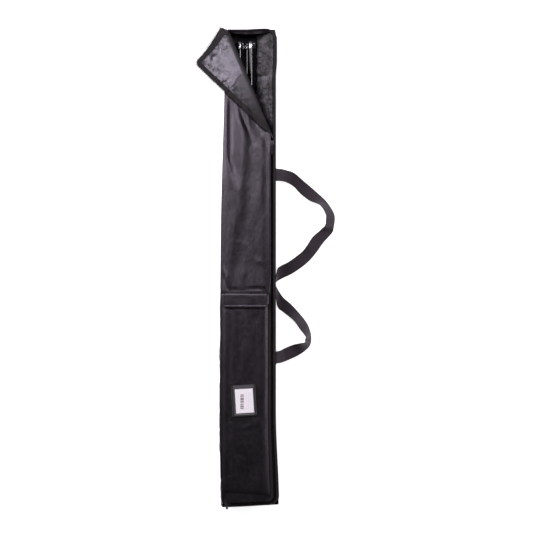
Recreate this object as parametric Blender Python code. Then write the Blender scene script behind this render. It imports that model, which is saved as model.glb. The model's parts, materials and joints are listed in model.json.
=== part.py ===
"""Soft zipped carry case with poles, built as separate solids.

The case lies on its back. +Y runs to the mouth end, +X to the side with the zip and the
handle, +Z out of the front panel. The origin is on the underside of the back panel, at its
middle. Every size below is in millimetres; MM turns them into metres when a mesh is made.
"""
import math

import bmesh
import bpy
from mathutils import Matrix, Vector

MM = 0.001
GAP = 0.3                 # clearance between pieces that lie against each other

# ---- the case ---------------------------------------------------------------------------
Y_END = 488.0             # half the length of the case
X_RIGHT = 57.0            # outer edge of the zip side
LEFT_EDGE = [(-45.0, 488.0), (-50.0, 300.0), (-55.0, 120.0),
             (-57.0, -120.0), (-57.0, -400.0), (-54.0, -488.0)]
RIGHT_FOOT = [(34.0, 488.0), (42.0, 262.0), (49.0, 120.0), (49.0, -488.0)]
CLOTH = 1.2               # thickness of a panel with its lining
BACK_TOP = 1.2            # top of the back panel
WALL_FOOT = BACK_TOP + GAP
WALL_HEAD = 49.2          # top of the gussets
LEFT_JOIN, RIGHT_JOIN = 120.0, 262.0      # where the two lengths of each side gusset meet
LEAN_STEP = 8.0           # spacing of the sections where the right gusset's lean changes
FRONT_LOW, FRONT_HIGH = 50.0, 51.0
PIPING_R = 1.1

# ---- the zip ----------------------------------------------------------------------------
CHAIN_X = 49.0            # centre line of the chain on the long side
CHAIN_TOP = 483.0         # and on the two ends
CHAIN_BOTTOM = -482.0
CHAIN_R = 13.0            # its radius round the corners
CHAIN_START_X = -41.0     # where it starts, by the left gusset
CHAIN_END_X = -51.0
COIL = 2.3                # half width of the closed chain
SLIT = 0.3                # half the space between two open half coils
FRONT_TAPE = 7.7          # how far the tape reaches inward from the centre line
BODY_TAPE = 8.0           # and outward
BODY_TAPE_END = 5.0       # the same at the two ends
STOP = 3.4                # length of an end stop
TAPE_LOW, TAPE_HIGH = 50.1, 50.9
COIL_LOW, COIL_HIGH = 49.5, 51.5
CORNER_STEPS = 5          # straight runs round each corner
MOUTH_Y = 268.0           # the chain is open above this
SLIDER_Y = 256.0          # middle of the upper slider
SLIDER_LOWER_X = -43.0    # middle of the lower slider
SLIDER_LENGTH, SLIDER_HALF_WIDTH, SLIDER_SHELL = 11.0, 4.2, 1.1
BRIDGE_HALF, BRIDGE_HALF_WIDTH, BRIDGE_RISE = 4.0, 0.9, 2.6

# ---- the folded corner: its hinge line runs from HINGE_A to HINGE_B -----------------------
HINGE_A = (-45.0, 488.0)
HINGE_B = (52.0, 262.0)
HINGE_Z = 52.1
HINGE_CLEAR = 1.0         # from the hinge line to the edge of each panel
COIL_CLEAR = 6.0          # and to the ends of the corner's half coil, which swings past the other
CORNER_LOW, CORNER_HIGH = 50.05, 51.05    # the corner's levels when it is zipped shut

# ---- front pocket, its flap and the document window ---------------------------------------
POCKET = (-52.5, -466.0, 38.5, -52.0)     # low x, low y, high x, high y
POCKET_FLOOR, POCKET_TOP = 57.0, 58.2
POCKET_WALL = 1.2
FLAP = (-54.0, -81.0, 42.0, -45.0)
FLAP_LOW, FLAP_HIGH = 59.9, 61.1
WINDOW = (-33.0, -300.0, 16.0, -237.0)
WINDOW_RIM = 5.0
WINDOW_TILT = 3.4         # degrees that the window is sewn on askew
CARD = (-25.5, -294.0, 11.0, -245.0)

# ---- handle -------------------------------------------------------------------------------
HANDLE_AXIS = (56.2, 30.2)                # x and z of the line that the handle swings on
WEBBING = 2.0                             # thickness of the strap, which is 25 wide
# Where the strap's two edges run: outer edge x, y, z, then inner edge x, y, z.
STRAP = [
    ((56.2, 205.0, 30.2), (56.2, 180.0, 30.2)), ((68.0, 205.5, 20.0), (68.0, 180.5, 20.0)),
    ((80.0, 203.5, 9.5), (80.0, 178.5, 9.5)), ((95.0, 197.0, 1.8), (96.0, 172.0, 1.8)),
    ((118.0, 182.0, 1.2), (111.0, 158.0, 1.2)), ((140.5, 163.0, 1.2), (128.0, 144.0, 8.0)),
    ((161.5, 140.5, 1.2), (149.0, 131.5, 20.0)), ((176.0, 119.5, 1.2), (160.5, 113.5, 19.5)),
    ((180.0, 105.0, 1.2), (161.5, 101.0, 17.0)), ((178.0, 86.5, 1.2), (159.5, 88.5, 17.5)),
    ((174.0, 74.0, 1.2), (151.0, 80.5, 4.0)), ((155.5, 53.0, 1.2), (134.0, 66.0, 1.2)),
    ((140.5, 32.0, 1.2), (121.5, 47.0, 6.0)), ((122.0, 11.5, 1.2), (110.0, 33.5, 1.2)),
    ((95.0, -8.5, 1.2), (84.0, 14.0, 1.2)), ((74.0, -19.0, 1.2), (67.0, 5.0, 1.2)),
    ((62.0, -25.5, 1.2), (60.5, -5.0, 15.4)), ((56.8, -31.5, 1.2), (56.6, -35.0, 25.9)),
    ((60.0, -41.0, 1.2), (58.5, -61.5, 15.0)), ((72.0, -59.5, 1.2), (62.0, -82.0, 1.2)),
    ((88.5, -74.0, 1.2), (72.0, -90.0, 5.0)), ((107.5, -94.5, 1.2), (94.5, -107.0, 18.7)),
    ((122.0, -113.5, 1.2), (108.0, -125.5, 18.0)), ((129.5, -132.0, 1.2), (120.0, -140.5, 22.8)),
    ((131.0, -147.0, 1.2), (118.5, -147.0, 22.8)), ((128.5, -159.5, 1.2), (118.0, -153.0, 23.0)),
    ((120.0, -169.5, 1.2), (108.0, -155.5, 17.5)), ((103.5, -181.0, 1.2), (93.0, -158.8, 4.0)),
    ((81.5, -190.5, 9.0), (75.5, -165.5, 9.0)), ((69.0, -194.5, 19.0), (67.5, -169.5, 19.0)),
    ((56.2, -196.0, 30.2), (56.2, -171.0, 30.2)),
]

# ---- inner pocket: y, and how far its skin stands off the gusset ---------------------------
INNER_POCKET = [(384.0, 19.0), (320.0, 12.0), (262.0, 4.0), (215.0, 0.5)]

# ---- poles --------------------------------------------------------------------------------
POLE_R = 9.5
POLE_BORE = 8.5
POLE_FOOT, POLE_HEAD = -452.0, 463.5
POLES = [(-31.0, 11.8), (-2.0, 11.8), (19.0, 11.8), (-15.9, 27.5), (7.5, 30.5)]   # x and z
COLLAR_R, COLLAR_LENGTH = 10.2, 12.0
SIDES = 20                # facets round a pole


def remove_everything():
    """Empty the scene."""
    for old in list(bpy.data.objects):
        bpy.data.objects.remove(old, do_unlink=True)


def material(name, colour, roughness, metallic=0.0, alpha=1.0):
    """A plain Principled material."""
    made = bpy.data.materials.new(name)
    made.use_nodes = True
    shader = made.node_tree.nodes["Principled BSDF"]
    shader.inputs["Base Color"].default_value = (*colour, 1.0)
    shader.inputs["Roughness"].default_value = roughness
    shader.inputs["Metallic"].default_value = metallic
    shader.inputs["Alpha"].default_value = alpha
    return made


NYLON = dict(colour=(0.035, 0.032, 0.037), roughness=0.5)
LINING = dict(colour=(0.24, 0.23, 0.26), roughness=0.35)
TAPE = dict(colour=(0.018, 0.015, 0.016), roughness=0.8)
COIL_PLASTIC = dict(colour=(0.012, 0.011, 0.012), roughness=0.35)
STEEL = dict(colour=(0.62, 0.62, 0.64), roughness=0.25, metallic=1.0)
CHROME = dict(colour=(0.85, 0.85, 0.87), roughness=0.08, metallic=1.0)
POLE_PAINT = dict(colour=(0.01, 0.01, 0.011), roughness=0.18)
PLASTIC = dict(colour=(0.015, 0.015, 0.016), roughness=0.45)
WEB = dict(colour=(0.028, 0.024, 0.027), roughness=0.75)
CARD_WHITE = dict(colour=(0.86, 0.85, 0.86), roughness=0.6)
FILM = dict(colour=(0.9, 0.9, 0.92), roughness=0.08, alpha=0.3)


def solid(name, verts, faces, look, origin=(0.0, 0.0, 0.0), parent=None):
    """One closed mesh object; verts are in case coordinates, in millimetres."""
    at = Vector(origin)
    mesh = bpy.data.meshes.new(name)
    mesh.from_pydata([(Vector(v) - at) * MM for v in verts], [], faces)
    mesh.materials.append(material(name, **look))
    mesh.validate()
    made = bpy.data.objects.new(name, mesh)
    made.location = at * MM
    bpy.context.scene.collection.objects.link(made)
    if parent is not None:
        made.parent = parent
        made.location = (at - Vector(parent["at"])) * MM
    return made


def pivot(name, at):
    """An empty on a joint's axis."""
    made = bpy.data.objects.new(name, None)
    made.empty_display_size = 0.01
    made.location = Vector(at) * MM
    made["at"] = list(at)
    bpy.context.scene.collection.objects.link(made)
    return made


def prism_mesh(outline, low, high):
    """Verts and faces of an upright prism on a counter-clockwise XY outline."""
    n = len(outline)
    verts = [(x, y, low) for x, y in outline] + [(x, y, high) for x, y in outline]
    faces = [tuple(reversed(range(n))), tuple(range(n, 2 * n))]
    faces += [(i, (i + 1) % n, n + (i + 1) % n, n + i) for i in range(n)]
    return verts, faces


def counter_clockwise(outline):
    """The outline, turned round if it runs clockwise."""
    area = sum(a[0] * b[1] - b[0] * a[1] for a, b in zip(outline, outline[1:] + outline[:1]))
    return outline if area > 0 else outline[::-1]


def plate(name, outline, low, high, look, **placing):
    """A flat piece, cut to an XY outline."""
    verts, faces = prism_mesh(counter_clockwise(outline), low, high)
    return solid(name, verts, faces, look, **placing)


def box_outline(x0, y0, x1, y1, chamfer=0.0):
    """A rectangle, with its low-y corners cut off by chamfer."""
    if chamfer == 0.0:
        return [(x0, y0), (x1, y0), (x1, y1), (x0, y1)]
    c = chamfer
    return [(x0 + c, y0), (x1 - c, y0), (x1 - 0.3 * c, y0 + 0.3 * c), (x1, y0 + c),
            (x1, y1), (x0, y1), (x0, y0 + c), (x0 + 0.3 * c, y0 + 0.3 * c)]


def loft(name, rings, look, **placing):
    """A closed solid through rings with the same number of points."""
    n = len(rings[0])
    verts = [point for ring in rings for point in ring]
    last = (len(rings) - 1) * n
    faces = [tuple(range(n)), tuple(last + i for i in reversed(range(n)))]
    for r in range(len(rings) - 1):
        for i in range(n):
            j = (i + 1) % n
            faces.append((r * n + j, r * n + i, (r + 1) * n + i, (r + 1) * n + j))
    if signed_volume(verts, faces) < 0:
        faces = [tuple(reversed(face)) for face in faces]
    return solid(name, verts, faces, look, **placing)


def signed_volume(verts, faces):
    """Six times the volume that the faces enclose; negative if they face inward."""
    total = 0.0
    for face in faces:
        a = Vector(verts[face[0]])
        for i in range(1, len(face) - 1):
            total += a.dot(Vector(verts[face[i]]).cross(Vector(verts[face[i + 1]])))
    return total


def on_line(points, y):
    """x of a line through (x, y) points, at y."""
    for (x0, y0), (x1, y1) in zip(points, points[1:]):
        if y1 <= y <= y0:
            return x0 + (x1 - x0) * (y0 - y) / (y0 - y1)
    return points[0][0] if y > points[0][1] else points[-1][0]


def hinge_line():
    """The fold's start, direction and outward normal, in XY."""
    start, end = Vector(HINGE_A), Vector(HINGE_B)
    along = (end - start).normalized()
    return start, along, Vector((-along.y, along.x))


def on_hinge(x=None, y=None, offset=0.0):
    """The point at this x or this y on the fold line moved out by offset."""
    start, along, out = hinge_line()
    base = start + out * offset
    t = (x - base.x) / along.x if y is None else (y - base.y) / along.y
    return tuple(base + along * t)


# ---- pieces of the shell ------------------------------------------------------------------

def back_panel():
    """The panel that the case lies on."""
    inset = 2.0 * PIPING_R + GAP
    ends = Y_END - inset
    left = [(x + inset, max(-ends, min(ends, y))) for x, y in LEFT_EDGE]
    right = [(x + CLOTH, max(-ends, min(ends, y))) for x, y in RIGHT_FOOT]
    plate("back_panel", left + right[::-1], 0.0, BACK_TOP, NYLON)


def stations(line, low, high, step=None):
    """The y of a line's own points between low and high, with both ends, or spaced by step."""
    ys = [high] + [y for _, y in line if low < y < high] + [low]
    if step is None:
        return ys
    spaced = []
    for upper, lower in zip(ys, ys[1:]):
        count = max(1, math.ceil((upper - lower) / step))
        spaced += [upper + (lower - upper) * k / count for k in range(count)]
    return spaced + [low]


def left_side_panels():
    """The left gusset, upright, in two lengths."""
    inset = 2.0 * PIPING_R + GAP
    ends = Y_END - 2.0 * CLOTH
    for name, low, high in (("left_side_panel_upper", LEFT_JOIN + GAP / 2.0, ends),
                            ("left_side_panel_lower", -ends, LEFT_JOIN - GAP / 2.0)):
        rings = []
        for y in stations(LEFT_EDGE, low, high):
            x = on_line(LEFT_EDGE, y) + inset
            rings.append([(x, y, WALL_FOOT), (x + CLOTH, y, WALL_FOOT),
                          (x + CLOTH, y, WALL_HEAD), (x, y, WALL_HEAD)])
        loft(name, rings, NYLON)


def right_wall_x(y, z):
    """Inner face of the right gusset, which leans out towards its head."""
    foot = on_line(RIGHT_FOOT, y)
    head = X_RIGHT - 2.2
    return foot + (head - foot) * (z - WALL_FOOT) / (WALL_HEAD - WALL_FOOT)


def right_side_panels():
    """The right gusset in two lengths; it leans out, most of all along the open mouth."""
    ends = Y_END - 2.0 * CLOTH
    for name, low, high in (("right_side_panel_upper", RIGHT_JOIN + GAP / 2.0, ends),
                            ("right_side_panel_lower", -ends, RIGHT_JOIN - GAP / 2.0)):
        rings = []
        lean_ends = max(low, RIGHT_FOOT[2][1])
        ys = stations(RIGHT_FOOT, lean_ends, high, LEAN_STEP)
        if low < lean_ends:
            ys.append(low)
        for y in ys:
            foot, head = right_wall_x(y, WALL_FOOT), right_wall_x(y, WALL_HEAD)
            rings.append([(foot, y, WALL_FOOT), (foot + CLOTH, y, WALL_FOOT),
                          (head + CLOTH, y, WALL_HEAD), (head, y, WALL_HEAD)])
        loft(name, rings, LINING)


def end_panel(name, y_outer, sign):
    """The gusset across one end."""
    outer, inner = y_outer - sign * 0.4, y_outer - sign * (0.4 + CLOTH)
    left = on_line(LEFT_EDGE, y_outer) + 2.0 * PIPING_R + GAP
    foot = right_wall_x(y_outer, WALL_FOOT) + CLOTH
    head = right_wall_x(y_outer, WALL_HEAD) + CLOTH
    ring = [(left, WALL_FOOT), (foot, WALL_FOOT), (head, WALL_HEAD), (left, WALL_HEAD)]
    loft(name, [[(x, outer, z) for x, z in ring], [(x, inner, z) for x, z in ring]], NYLON)


def front_panel():
    """The front, less the corner that is folded back."""
    inset = 2.0 * PIPING_R + 2.0 * GAP
    bottom = CHAIN_BOTTOM + FRONT_TAPE + GAP
    right = CHAIN_X - FRONT_TAPE - GAP
    left = [(x + inset, y) for x, y in LEFT_EDGE[1:-1]]
    left.append((on_line(LEFT_EDGE, bottom) + inset, bottom))
    top_left = on_hinge(y=CHAIN_TOP - 2.0, offset=-HINGE_CLEAR)
    left.insert(0, (on_line(LEFT_EDGE, top_left[1]) + inset, top_left[1]))
    corner = zip_line(-FRONT_TAPE - GAP, "closed")[1:-1]
    outline = left + corner[::-1] + [on_hinge(x=right, offset=-HINGE_CLEAR), top_left]
    plate("front_panel", outline, FRONT_LOW, FRONT_HIGH, NYLON)


def piping_ring(points, z):
    """Hexagonal sections of a piping along XY points."""
    rings = []
    for i, (x, y) in enumerate(points):
        before = Vector(points[max(i - 1, 0)])
        after = Vector(points[min(i + 1, len(points) - 1)])
        along = (after - before).normalized()
        side = Vector((along.y, -along.x))
        ring = []
        for k in range(6):
            turn = math.tau * k / 6.0
            out, up = math.cos(turn) * PIPING_R, math.sin(turn) * PIPING_R
            ring.append((x + side.x * out, y + side.y * out, z + up))
        rings.append(ring)
    return rings


def pipings():
    """Piping in the left front seam and along both back seams."""
    front = [(x + PIPING_R, y) for x, y in LEFT_EDGE]
    front[0] = (front[0][0], CHAIN_TOP - COIL - GAP)
    front[-1] = (front[-1][0], CHAIN_BOTTOM + COIL + GAP)
    loft("front_left_piping", piping_ring(front, FRONT_LOW + 0.5), COIL_PLASTIC)
    back_left = [(x + PIPING_R, y) for x, y in LEFT_EDGE]
    loft("back_left_piping", piping_ring(back_left, PIPING_R + 0.3), COIL_PLASTIC)
    back_right = [(x + CLOTH + GAP + PIPING_R, y) for x, y in RIGHT_FOOT]
    loft("back_right_piping", piping_ring(back_right, PIPING_R + 0.3), COIL_PLASTIC)


# ---- the zip ------------------------------------------------------------------------------

def zip_line(offset, part, end_offset=None, clear=HINGE_CLEAR):
    """The zip's line, moved outward by offset, for one part: open, closed, body or flap.

    clear is the flap part's distance from the hinge line.
    """
    end_offset = offset if end_offset is None else end_offset
    rx, ry = CHAIN_R + offset, CHAIN_R + end_offset
    top, bottom = CHAIN_TOP + end_offset, CHAIN_BOTTOM - end_offset
    right = CHAIN_X + offset
    cx = CHAIN_X - CHAIN_R
    upper = [(CHAIN_START_X, top)]
    lower = []
    for k in range(CORNER_STEPS + 1):
        turn = math.pi / 2.0 * k / CORNER_STEPS
        across, up = rx * math.sin(turn), ry * math.cos(turn)
        upper.append((cx + across, CHAIN_TOP - CHAIN_R + up))
        lower.insert(0, (cx + across, CHAIN_BOTTOM + CHAIN_R - up))
    lower.append((CHAIN_END_X, bottom))
    if part == "open":
        return upper + [(right, MOUTH_Y)]
    if part == "closed":
        return [(right, SLIDER_Y - 3.0)] + lower
    if part == "flap":
        upper[0] = (on_hinge(y=top, offset=clear)[0], top)
        return upper + [on_hinge(x=right, offset=clear)]
    return upper + lower


def zip_band(name, inner, outer, levels, part, look, end_outer=None, clear=HINGE_CLEAR, **placing):
    """A strip of the zip between two offsets from its centre line."""
    outline = zip_line(outer, part, end_outer, clear) + zip_line(inner, part, clear=clear)[::-1]
    return plate(name, outline, *levels, look, **placing)


def zip_on_the_case():
    """The tape on the case, the closed tape on the front, the coils and the end stops."""
    tape, coil = (TAPE_LOW, TAPE_HIGH), (COIL_LOW, COIL_HIGH)
    edge = COIL + GAP
    zip_band("zip_tape_body", edge, BODY_TAPE, tape, "body", TAPE, end_outer=BODY_TAPE_END)
    zip_band("zip_coil_body", SLIT, COIL, coil, "open", COIL_PLASTIC)
    zip_band("zip_chain_closed", -COIL, COIL, coil, "closed", COIL_PLASTIC)
    outline = zip_line(-edge, "closed") + zip_line(-FRONT_TAPE, "closed")[::-1]
    outline[0] = on_hinge(x=CHAIN_X - edge, offset=-HINGE_CLEAR)
    outline[-1] = on_hinge(x=CHAIN_X - FRONT_TAPE, offset=-HINGE_CLEAR)
    plate("zip_tape_front", outline, *tape, TAPE)
    for name, x, y in (("zip_stop_start", CHAIN_START_X, CHAIN_TOP),
                       ("zip_stop_end", CHAIN_END_X, CHAIN_BOTTOM)):
        outline = box_outline(x - STOP - GAP, y - COIL, x - GAP, y + COIL)
        plate(name, outline, COIL_LOW, COIL_HIGH + 0.4, STEEL)


def slider(name, at, along_x):
    """A zip slider round the chain: a shell above, a sole below and a bridge on top."""
    shell_low, shell_high = COIL_HIGH + GAP, COIL_HIGH + GAP + SLIDER_SHELL
    lip = TAPE_HIGH + GAP
    section = [(-SLIDER_HALF_WIDTH, lip), (-COIL - GAP, lip), (-COIL - GAP, shell_low),
               (COIL + GAP, shell_low), (COIL + GAP, lip), (SLIDER_HALF_WIDTH, lip),
               (SLIDER_HALF_WIDTH, shell_high), (-SLIDER_HALF_WIDTH, shell_high)]

    def place(across, along, z):
        if along_x:
            return (at[0] + along, at[1] + across, z)
        return (at[0] + across, at[1] + along, z)

    half = SLIDER_LENGTH / 2.0
    rings = [[place(u, v, z) for u, z in section] for v in (-half, half)]
    made = loft(name, rings, STEEL, origin=(*at, shell_high))
    bridge = BRIDGE_HALF_WIDTH
    arch = [(-BRIDGE_HALF, shell_high - 0.4), (BRIDGE_HALF, shell_high - 0.4),
            (BRIDGE_HALF - 1.0, shell_high + BRIDGE_RISE),
            (-BRIDGE_HALF + 1.0, shell_high + BRIDGE_RISE)]
    rings = [[(at[0] + u, at[1] + v, z) for v, z in arch] for u in (-bridge, bridge)]
    cutter = loft(name + "_bridge", rings, STEEL)
    cutter.hide_render = True
    cutter.display_type = "WIRE"
    union = made.modifiers.new("bridge", "BOOLEAN")
    union.operation = "UNION"
    union.object = cutter
    return shell_high


def pull_tab(name, at, z, length, look):
    """A flat pull on a slider's bridge, pointing along -Y, on its own hinge line."""
    inner, outer = BRIDGE_HALF_WIDTH + GAP, 3.2
    tip = 2.2
    back, slot = 0.6, -BRIDGE_HALF - GAP
    outline = [(-outer, back), (-outer, -length + 2.0), (-tip, -length), (tip, -length),
               (outer, -length + 2.0), (outer, back), (inner, back), (inner, slot),
               (-inner, slot), (-inner, back)]
    outline = [(x + at[0], y + at[1]) for x, y in outline]
    low, high = z + 2.0 * GAP, z + 2.0 * GAP + 1.0
    pin = pivot(name + "_hinge", (*at, (low + high) / 2.0))
    plate(name, outline, low, high, look, origin=(*at, (low + high) / 2.0), parent=pin)


# ---- the folded corner --------------------------------------------------------------------

def folded_corner():
    """The corner of the front with its tape and half coil, turned back on the fold line."""
    inset = FRONT_TAPE + GAP
    panel = zip_line(-inset, "flap")
    panel[0] = on_hinge(y=CHAIN_TOP - inset, offset=HINGE_CLEAR)
    tape_edge = COIL + GAP
    pieces = [
        plate("folded_corner", panel, CORNER_LOW, CORNER_HIGH, LINING),
        zip_band("zip_tape_flap", -FRONT_TAPE, -tape_edge, (TAPE_LOW, TAPE_HIGH), "flap", TAPE),
        zip_band("zip_coil_flap", -COIL, -SLIT, (COIL_LOW, COIL_HIGH), "flap", COIL_PLASTIC,
                 clear=COIL_CLEAR),
    ]
    start, along, _ = hinge_line()
    at = Vector((*start, HINGE_Z)) * MM
    turn = Matrix.Rotation(math.pi, 4, Vector((*along, 0.0)))
    hinge = pivot("corner_hinge", (*start, HINGE_Z))
    for piece in pieces:
        piece.data.transform(Matrix.Translation(-at))
        piece.data.transform(turn)
        piece.parent = hinge


# ---- front pocket and window --------------------------------------------------------------

def pocket():
    """The patch pocket: a skin held off the front panel by its three sewn sides."""
    x0, y0, x1, y1 = POCKET
    w = POCKET_WALL
    foot = FRONT_HIGH + GAP
    outer = box_outline(x0, y0, x1, y1)
    inner = box_outline(x0 + w, y0 + w, x1 - w, y1)
    verts = [(x, y, z) for z in (foot, POCKET_FLOOR) for x, y in inner]
    verts += [(x, y, z) for z in (foot, POCKET_TOP) for x, y in outer]
    faces = [
        (4, 5, 6, 7),                                   # ceiling of the pocket, facing down
        (0, 4, 7, 3), (1, 2, 6, 5), (0, 1, 5, 4),       # insides of its walls
        (12, 13, 14, 15),                               # top
        (8, 12, 15, 11), (9, 10, 14, 13), (8, 9, 13, 12),
        (8, 0, 3, 11), (1, 9, 10, 2), (8, 9, 1, 0),     # feet of the walls
        (3, 7, 6, 2, 10, 14, 15, 11),                   # the mouth's edge
    ]
    made = solid("pocket_panel", verts, faces, NYLON)
    face_out(made)
    flap = box_outline(*FLAP, chamfer=9.0)
    hinge = pivot("pocket_flap_hinge", ((FLAP[0] + FLAP[2]) / 2.0, FLAP[3], (FLAP_LOW + FLAP_HIGH) / 2.0))
    at = tuple(hinge["at"])
    plate("pocket_flap", flap, FLAP_LOW, FLAP_HIGH, NYLON, origin=at, parent=hinge)
    hook = box_outline(-26.0, -74.0, 14.0, -64.0)
    plate("hook_strip", hook, FLAP_LOW - GAP - 0.4, FLAP_LOW - GAP, PLASTIC, origin=at, parent=hinge)
    plate("loop_strip", hook, POCKET_TOP + GAP, POCKET_TOP + GAP + 0.4, PLASTIC)


def face_out(made):
    """Point every face of one closed mesh outward."""
    work = bmesh.new()
    work.from_mesh(made.data)
    bmesh.ops.recalc_face_normals(work, faces=work.faces)
    work.to_mesh(made.data)
    work.free()


def askew(outline):
    """The outline, turned about the middle of the window as the window is sewn on."""
    cx, cy = (WINDOW[0] + WINDOW[2]) / 2.0, (WINDOW[1] + WINDOW[3]) / 2.0
    c, s = math.cos(math.radians(WINDOW_TILT)), math.sin(math.radians(WINDOW_TILT))
    return [(cx + c * (x - cx) - s * (y - cy), cy + s * (x - cx) + c * (y - cy))
            for x, y in outline]


def window():
    """The document window: a rim open at the top, the card that slides in it, and the film."""
    x0, y0, x1, y1 = WINDOW
    r = WINDOW_RIM
    rim = [(x0, y0), (x1, y0), (x1, y1), (x1 - 0.6 * r, y1), (x1 - 0.6 * r, y0 + 0.6 * r),
           (x0 + r, y0 + 0.6 * r), (x0 + r, y1), (x0, y1)]
    low = POCKET_TOP + GAP
    plate("id_window_frame", askew(rim), low, low + 1.0, PLASTIC)
    plate("label_card", askew(box_outline(*CARD)), low, low + 0.5, CARD_WHITE)
    film_low = low + 1.0 + GAP
    plate("id_window_film", askew(box_outline(x0, y0, x1, y1)), film_low, film_low + 0.4, FILM)


def inner_pocket():
    """The small pocket on the inside of the right gusset; it bulges at its mouth."""
    rings = []
    for y, bulge in INNER_POCKET:
        middle = [(-1.5 - 0.15 * bulge, 43.0), (-1.5 - bulge, 29.0),
                  (-1.5 - 0.8 * bulge, 21.0), (-1.5 - 0.1 * bulge, 5.0)]
        skin = [(right_wall_x(y, z) + out, y, z) for out, z in middle]
        rings.append(skin + [(x + 1.0, y, z) for x, y, z in reversed(skin)])
    loft("inner_pocket_panel", rings, NYLON)
    y, bulge = INNER_POCKET[0]
    hem = []
    for y in (INNER_POCKET[0][0] + GAP, INNER_POCKET[0][0] + GAP + 9.0):
        skin = [(right_wall_x(y, z) + out, y, z)
                for out, z in ((-1.8 - 0.15 * bulge, 43.3), (-1.8 - bulge, 29.3),
                               (-1.8 - 0.8 * bulge, 20.8), (-1.5 - 0.1 * bulge, 5.0))]
        hem.append(skin + [(x + 1.5, y, z) for x, y, z in reversed(skin)])
    loft("inner_pocket_hem", hem, TAPE)


# ---- handle -------------------------------------------------------------------------------

def handle():
    """The webbing strap and the two tabs that it is sewn to."""
    axis_x, axis_z = HANDLE_AXIS
    middles = [(Vector(a) + Vector(b)) / 2.0 for a, b in STRAP]
    rings = []
    for i, (outer, inner) in enumerate(STRAP):
        outer, inner = Vector(outer), Vector(inner)
        along = middles[min(i + 1, len(STRAP) - 1)] - middles[max(i - 1, 0)]
        through = along.cross(inner - outer).normalized() * (WEBBING / 2.0)
        rings.append([outer - through, inner - through, inner + through, outer + through])
    hinge = pivot("handle_hinge", (axis_x, 0.0, axis_z))
    at = tuple(hinge["at"])
    loft("carry_handle", rings, WEB, origin=at, parent=hinge)
    foot, thick = axis_z + 1.7, 1.8
    for name, i in (("handle_anchor_upper", 0), ("handle_anchor_lower", -1)):
        high_y, low_y = STRAP[i][0][1], STRAP[i][1][1]
        low_y, high_y = min(low_y, high_y), max(low_y, high_y)
        profile = []
        for y in (low_y, high_y):
            inner_low = right_wall_x(y, foot) + CLOTH + GAP
            inner_high = right_wall_x(y, WALL_HEAD - 0.5) + CLOTH + GAP
            profile.append([(inner_low, y, foot), (inner_low + thick, y, foot),
                            (inner_high + thick, y, WALL_HEAD - 0.5), (inner_high, y, WALL_HEAD - 0.5)])
        loft(name, profile, WEB)


# ---- poles --------------------------------------------------------------------------------

def turned(name, profile, x, z, look, **placing):
    """A solid turned about a line along Y, from a profile of (radius, y) points."""
    verts, index = [], []
    for radius, y in profile:
        if radius == 0.0:
            index.append([len(verts)] * SIDES)
            verts.append((x, y, z))
            continue
        index.append(list(range(len(verts), len(verts) + SIDES)))
        for k in range(SIDES):
            turn = math.tau * k / SIDES
            verts.append((x + radius * math.sin(turn), y, z + radius * math.cos(turn)))
    hollow = profile[0][0] > 0.0
    faces = []
    for p in range(len(index) if hollow else len(index) - 1):
        a, b = index[p], index[(p + 1) % len(index)]
        for k in range(SIDES):
            m = (k + 1) % SIDES
            corners = [a[k], b[k], b[m], a[m]]
            faces.append(tuple(v for n, v in enumerate(corners) if v not in corners[:n]))
    if signed_volume(verts, faces) < 0:
        faces = [tuple(reversed(face)) for face in faces]
    made = solid(name, verts, faces, look, **placing)
    made.data.shade_smooth()
    made.data.set_sharp_from_angle(angle=math.radians(35.0))
    return made


def poles():
    """The poles, each a tube with a chrome collar, a plug in its head and a rubber foot."""
    for n, (x, z) in enumerate(POLES, start=1):
        r, bore, head, foot = POLE_R, POLE_BORE, POLE_HEAD, POLE_FOOT
        slide = pivot(f"pole_{n}_slide", (x, 0.0, z))
        placing = dict(origin=(x, 0.0, z), parent=slide)
        turned(f"pole_tube_{n}", [(r, foot), (r, head), (bore, head), (bore, foot)],
               x, z, POLE_PAINT, **placing)
        inner, outer = r + GAP, COLLAR_R
        low, high = head - COLLAR_LENGTH, head
        turned(f"pole_collar_{n}", [(inner, low), (outer - 0.2, low), (outer, low + 0.6),
                                    (outer, high - 0.6), (outer - 0.25, high), (inner, high)],
               x, z, CHROME, **placing)
        shank = bore - GAP
        top = [(0.0, head - 10.0), (shank, head - 10.0), (shank, head + GAP), (r - 0.2, head + GAP),
               (r - 0.6, head + 2.2), (0.0, head + 2.8)]
        low_end = [(0.0, foot + 10.0), (shank, foot + 10.0), (shank, foot - GAP),
                   (r, foot - GAP), (r - 0.8, foot - 3.2), (0.0, foot - 3.6)]
        turned(f"pole_plug_{n}", top, x, z, PLASTIC, **placing)
        turned(f"pole_foot_{n}", low_end, x, z, PLASTIC, **placing)


def main():
    """Build the case."""
    remove_everything()
    back_panel()
    left_side_panels()
    right_side_panels()
    end_panel("top_end_panel", Y_END, 1.0)
    end_panel("bottom_end_panel", -Y_END, -1.0)
    front_panel()
    pipings()
    zip_on_the_case()
    folded_corner()
    pocket()
    window()
    inner_pocket()
    handle()
    for name, at, along_x, tab, look in (
            ("upper", (CHAIN_X, SLIDER_Y), False, 24.0, PLASTIC),
            ("lower", (SLIDER_LOWER_X, CHAIN_BOTTOM), True, 9.0, STEEL)):
        z = slider("zip_slider_" + name, at, along_x)
        pull_tab("zip_pull_" + name, at, z, tab, look)
    poles()


main()
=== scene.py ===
"""The looks of the soft carry case with its poles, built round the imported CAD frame.

The case lies on its back: +Y runs to the mouth end, +X to the side with the zip and the
handle, +Z out of the front. Sizes below are in millimetres; MM turns them into metres when
a mesh is made. Surfaces are height functions of x and y, so that stitches, tapes and seams
lie on the cloth that they are sewn to.
"""
import json
import math

import bpy
import numpy as np
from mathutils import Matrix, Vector, noise


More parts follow.
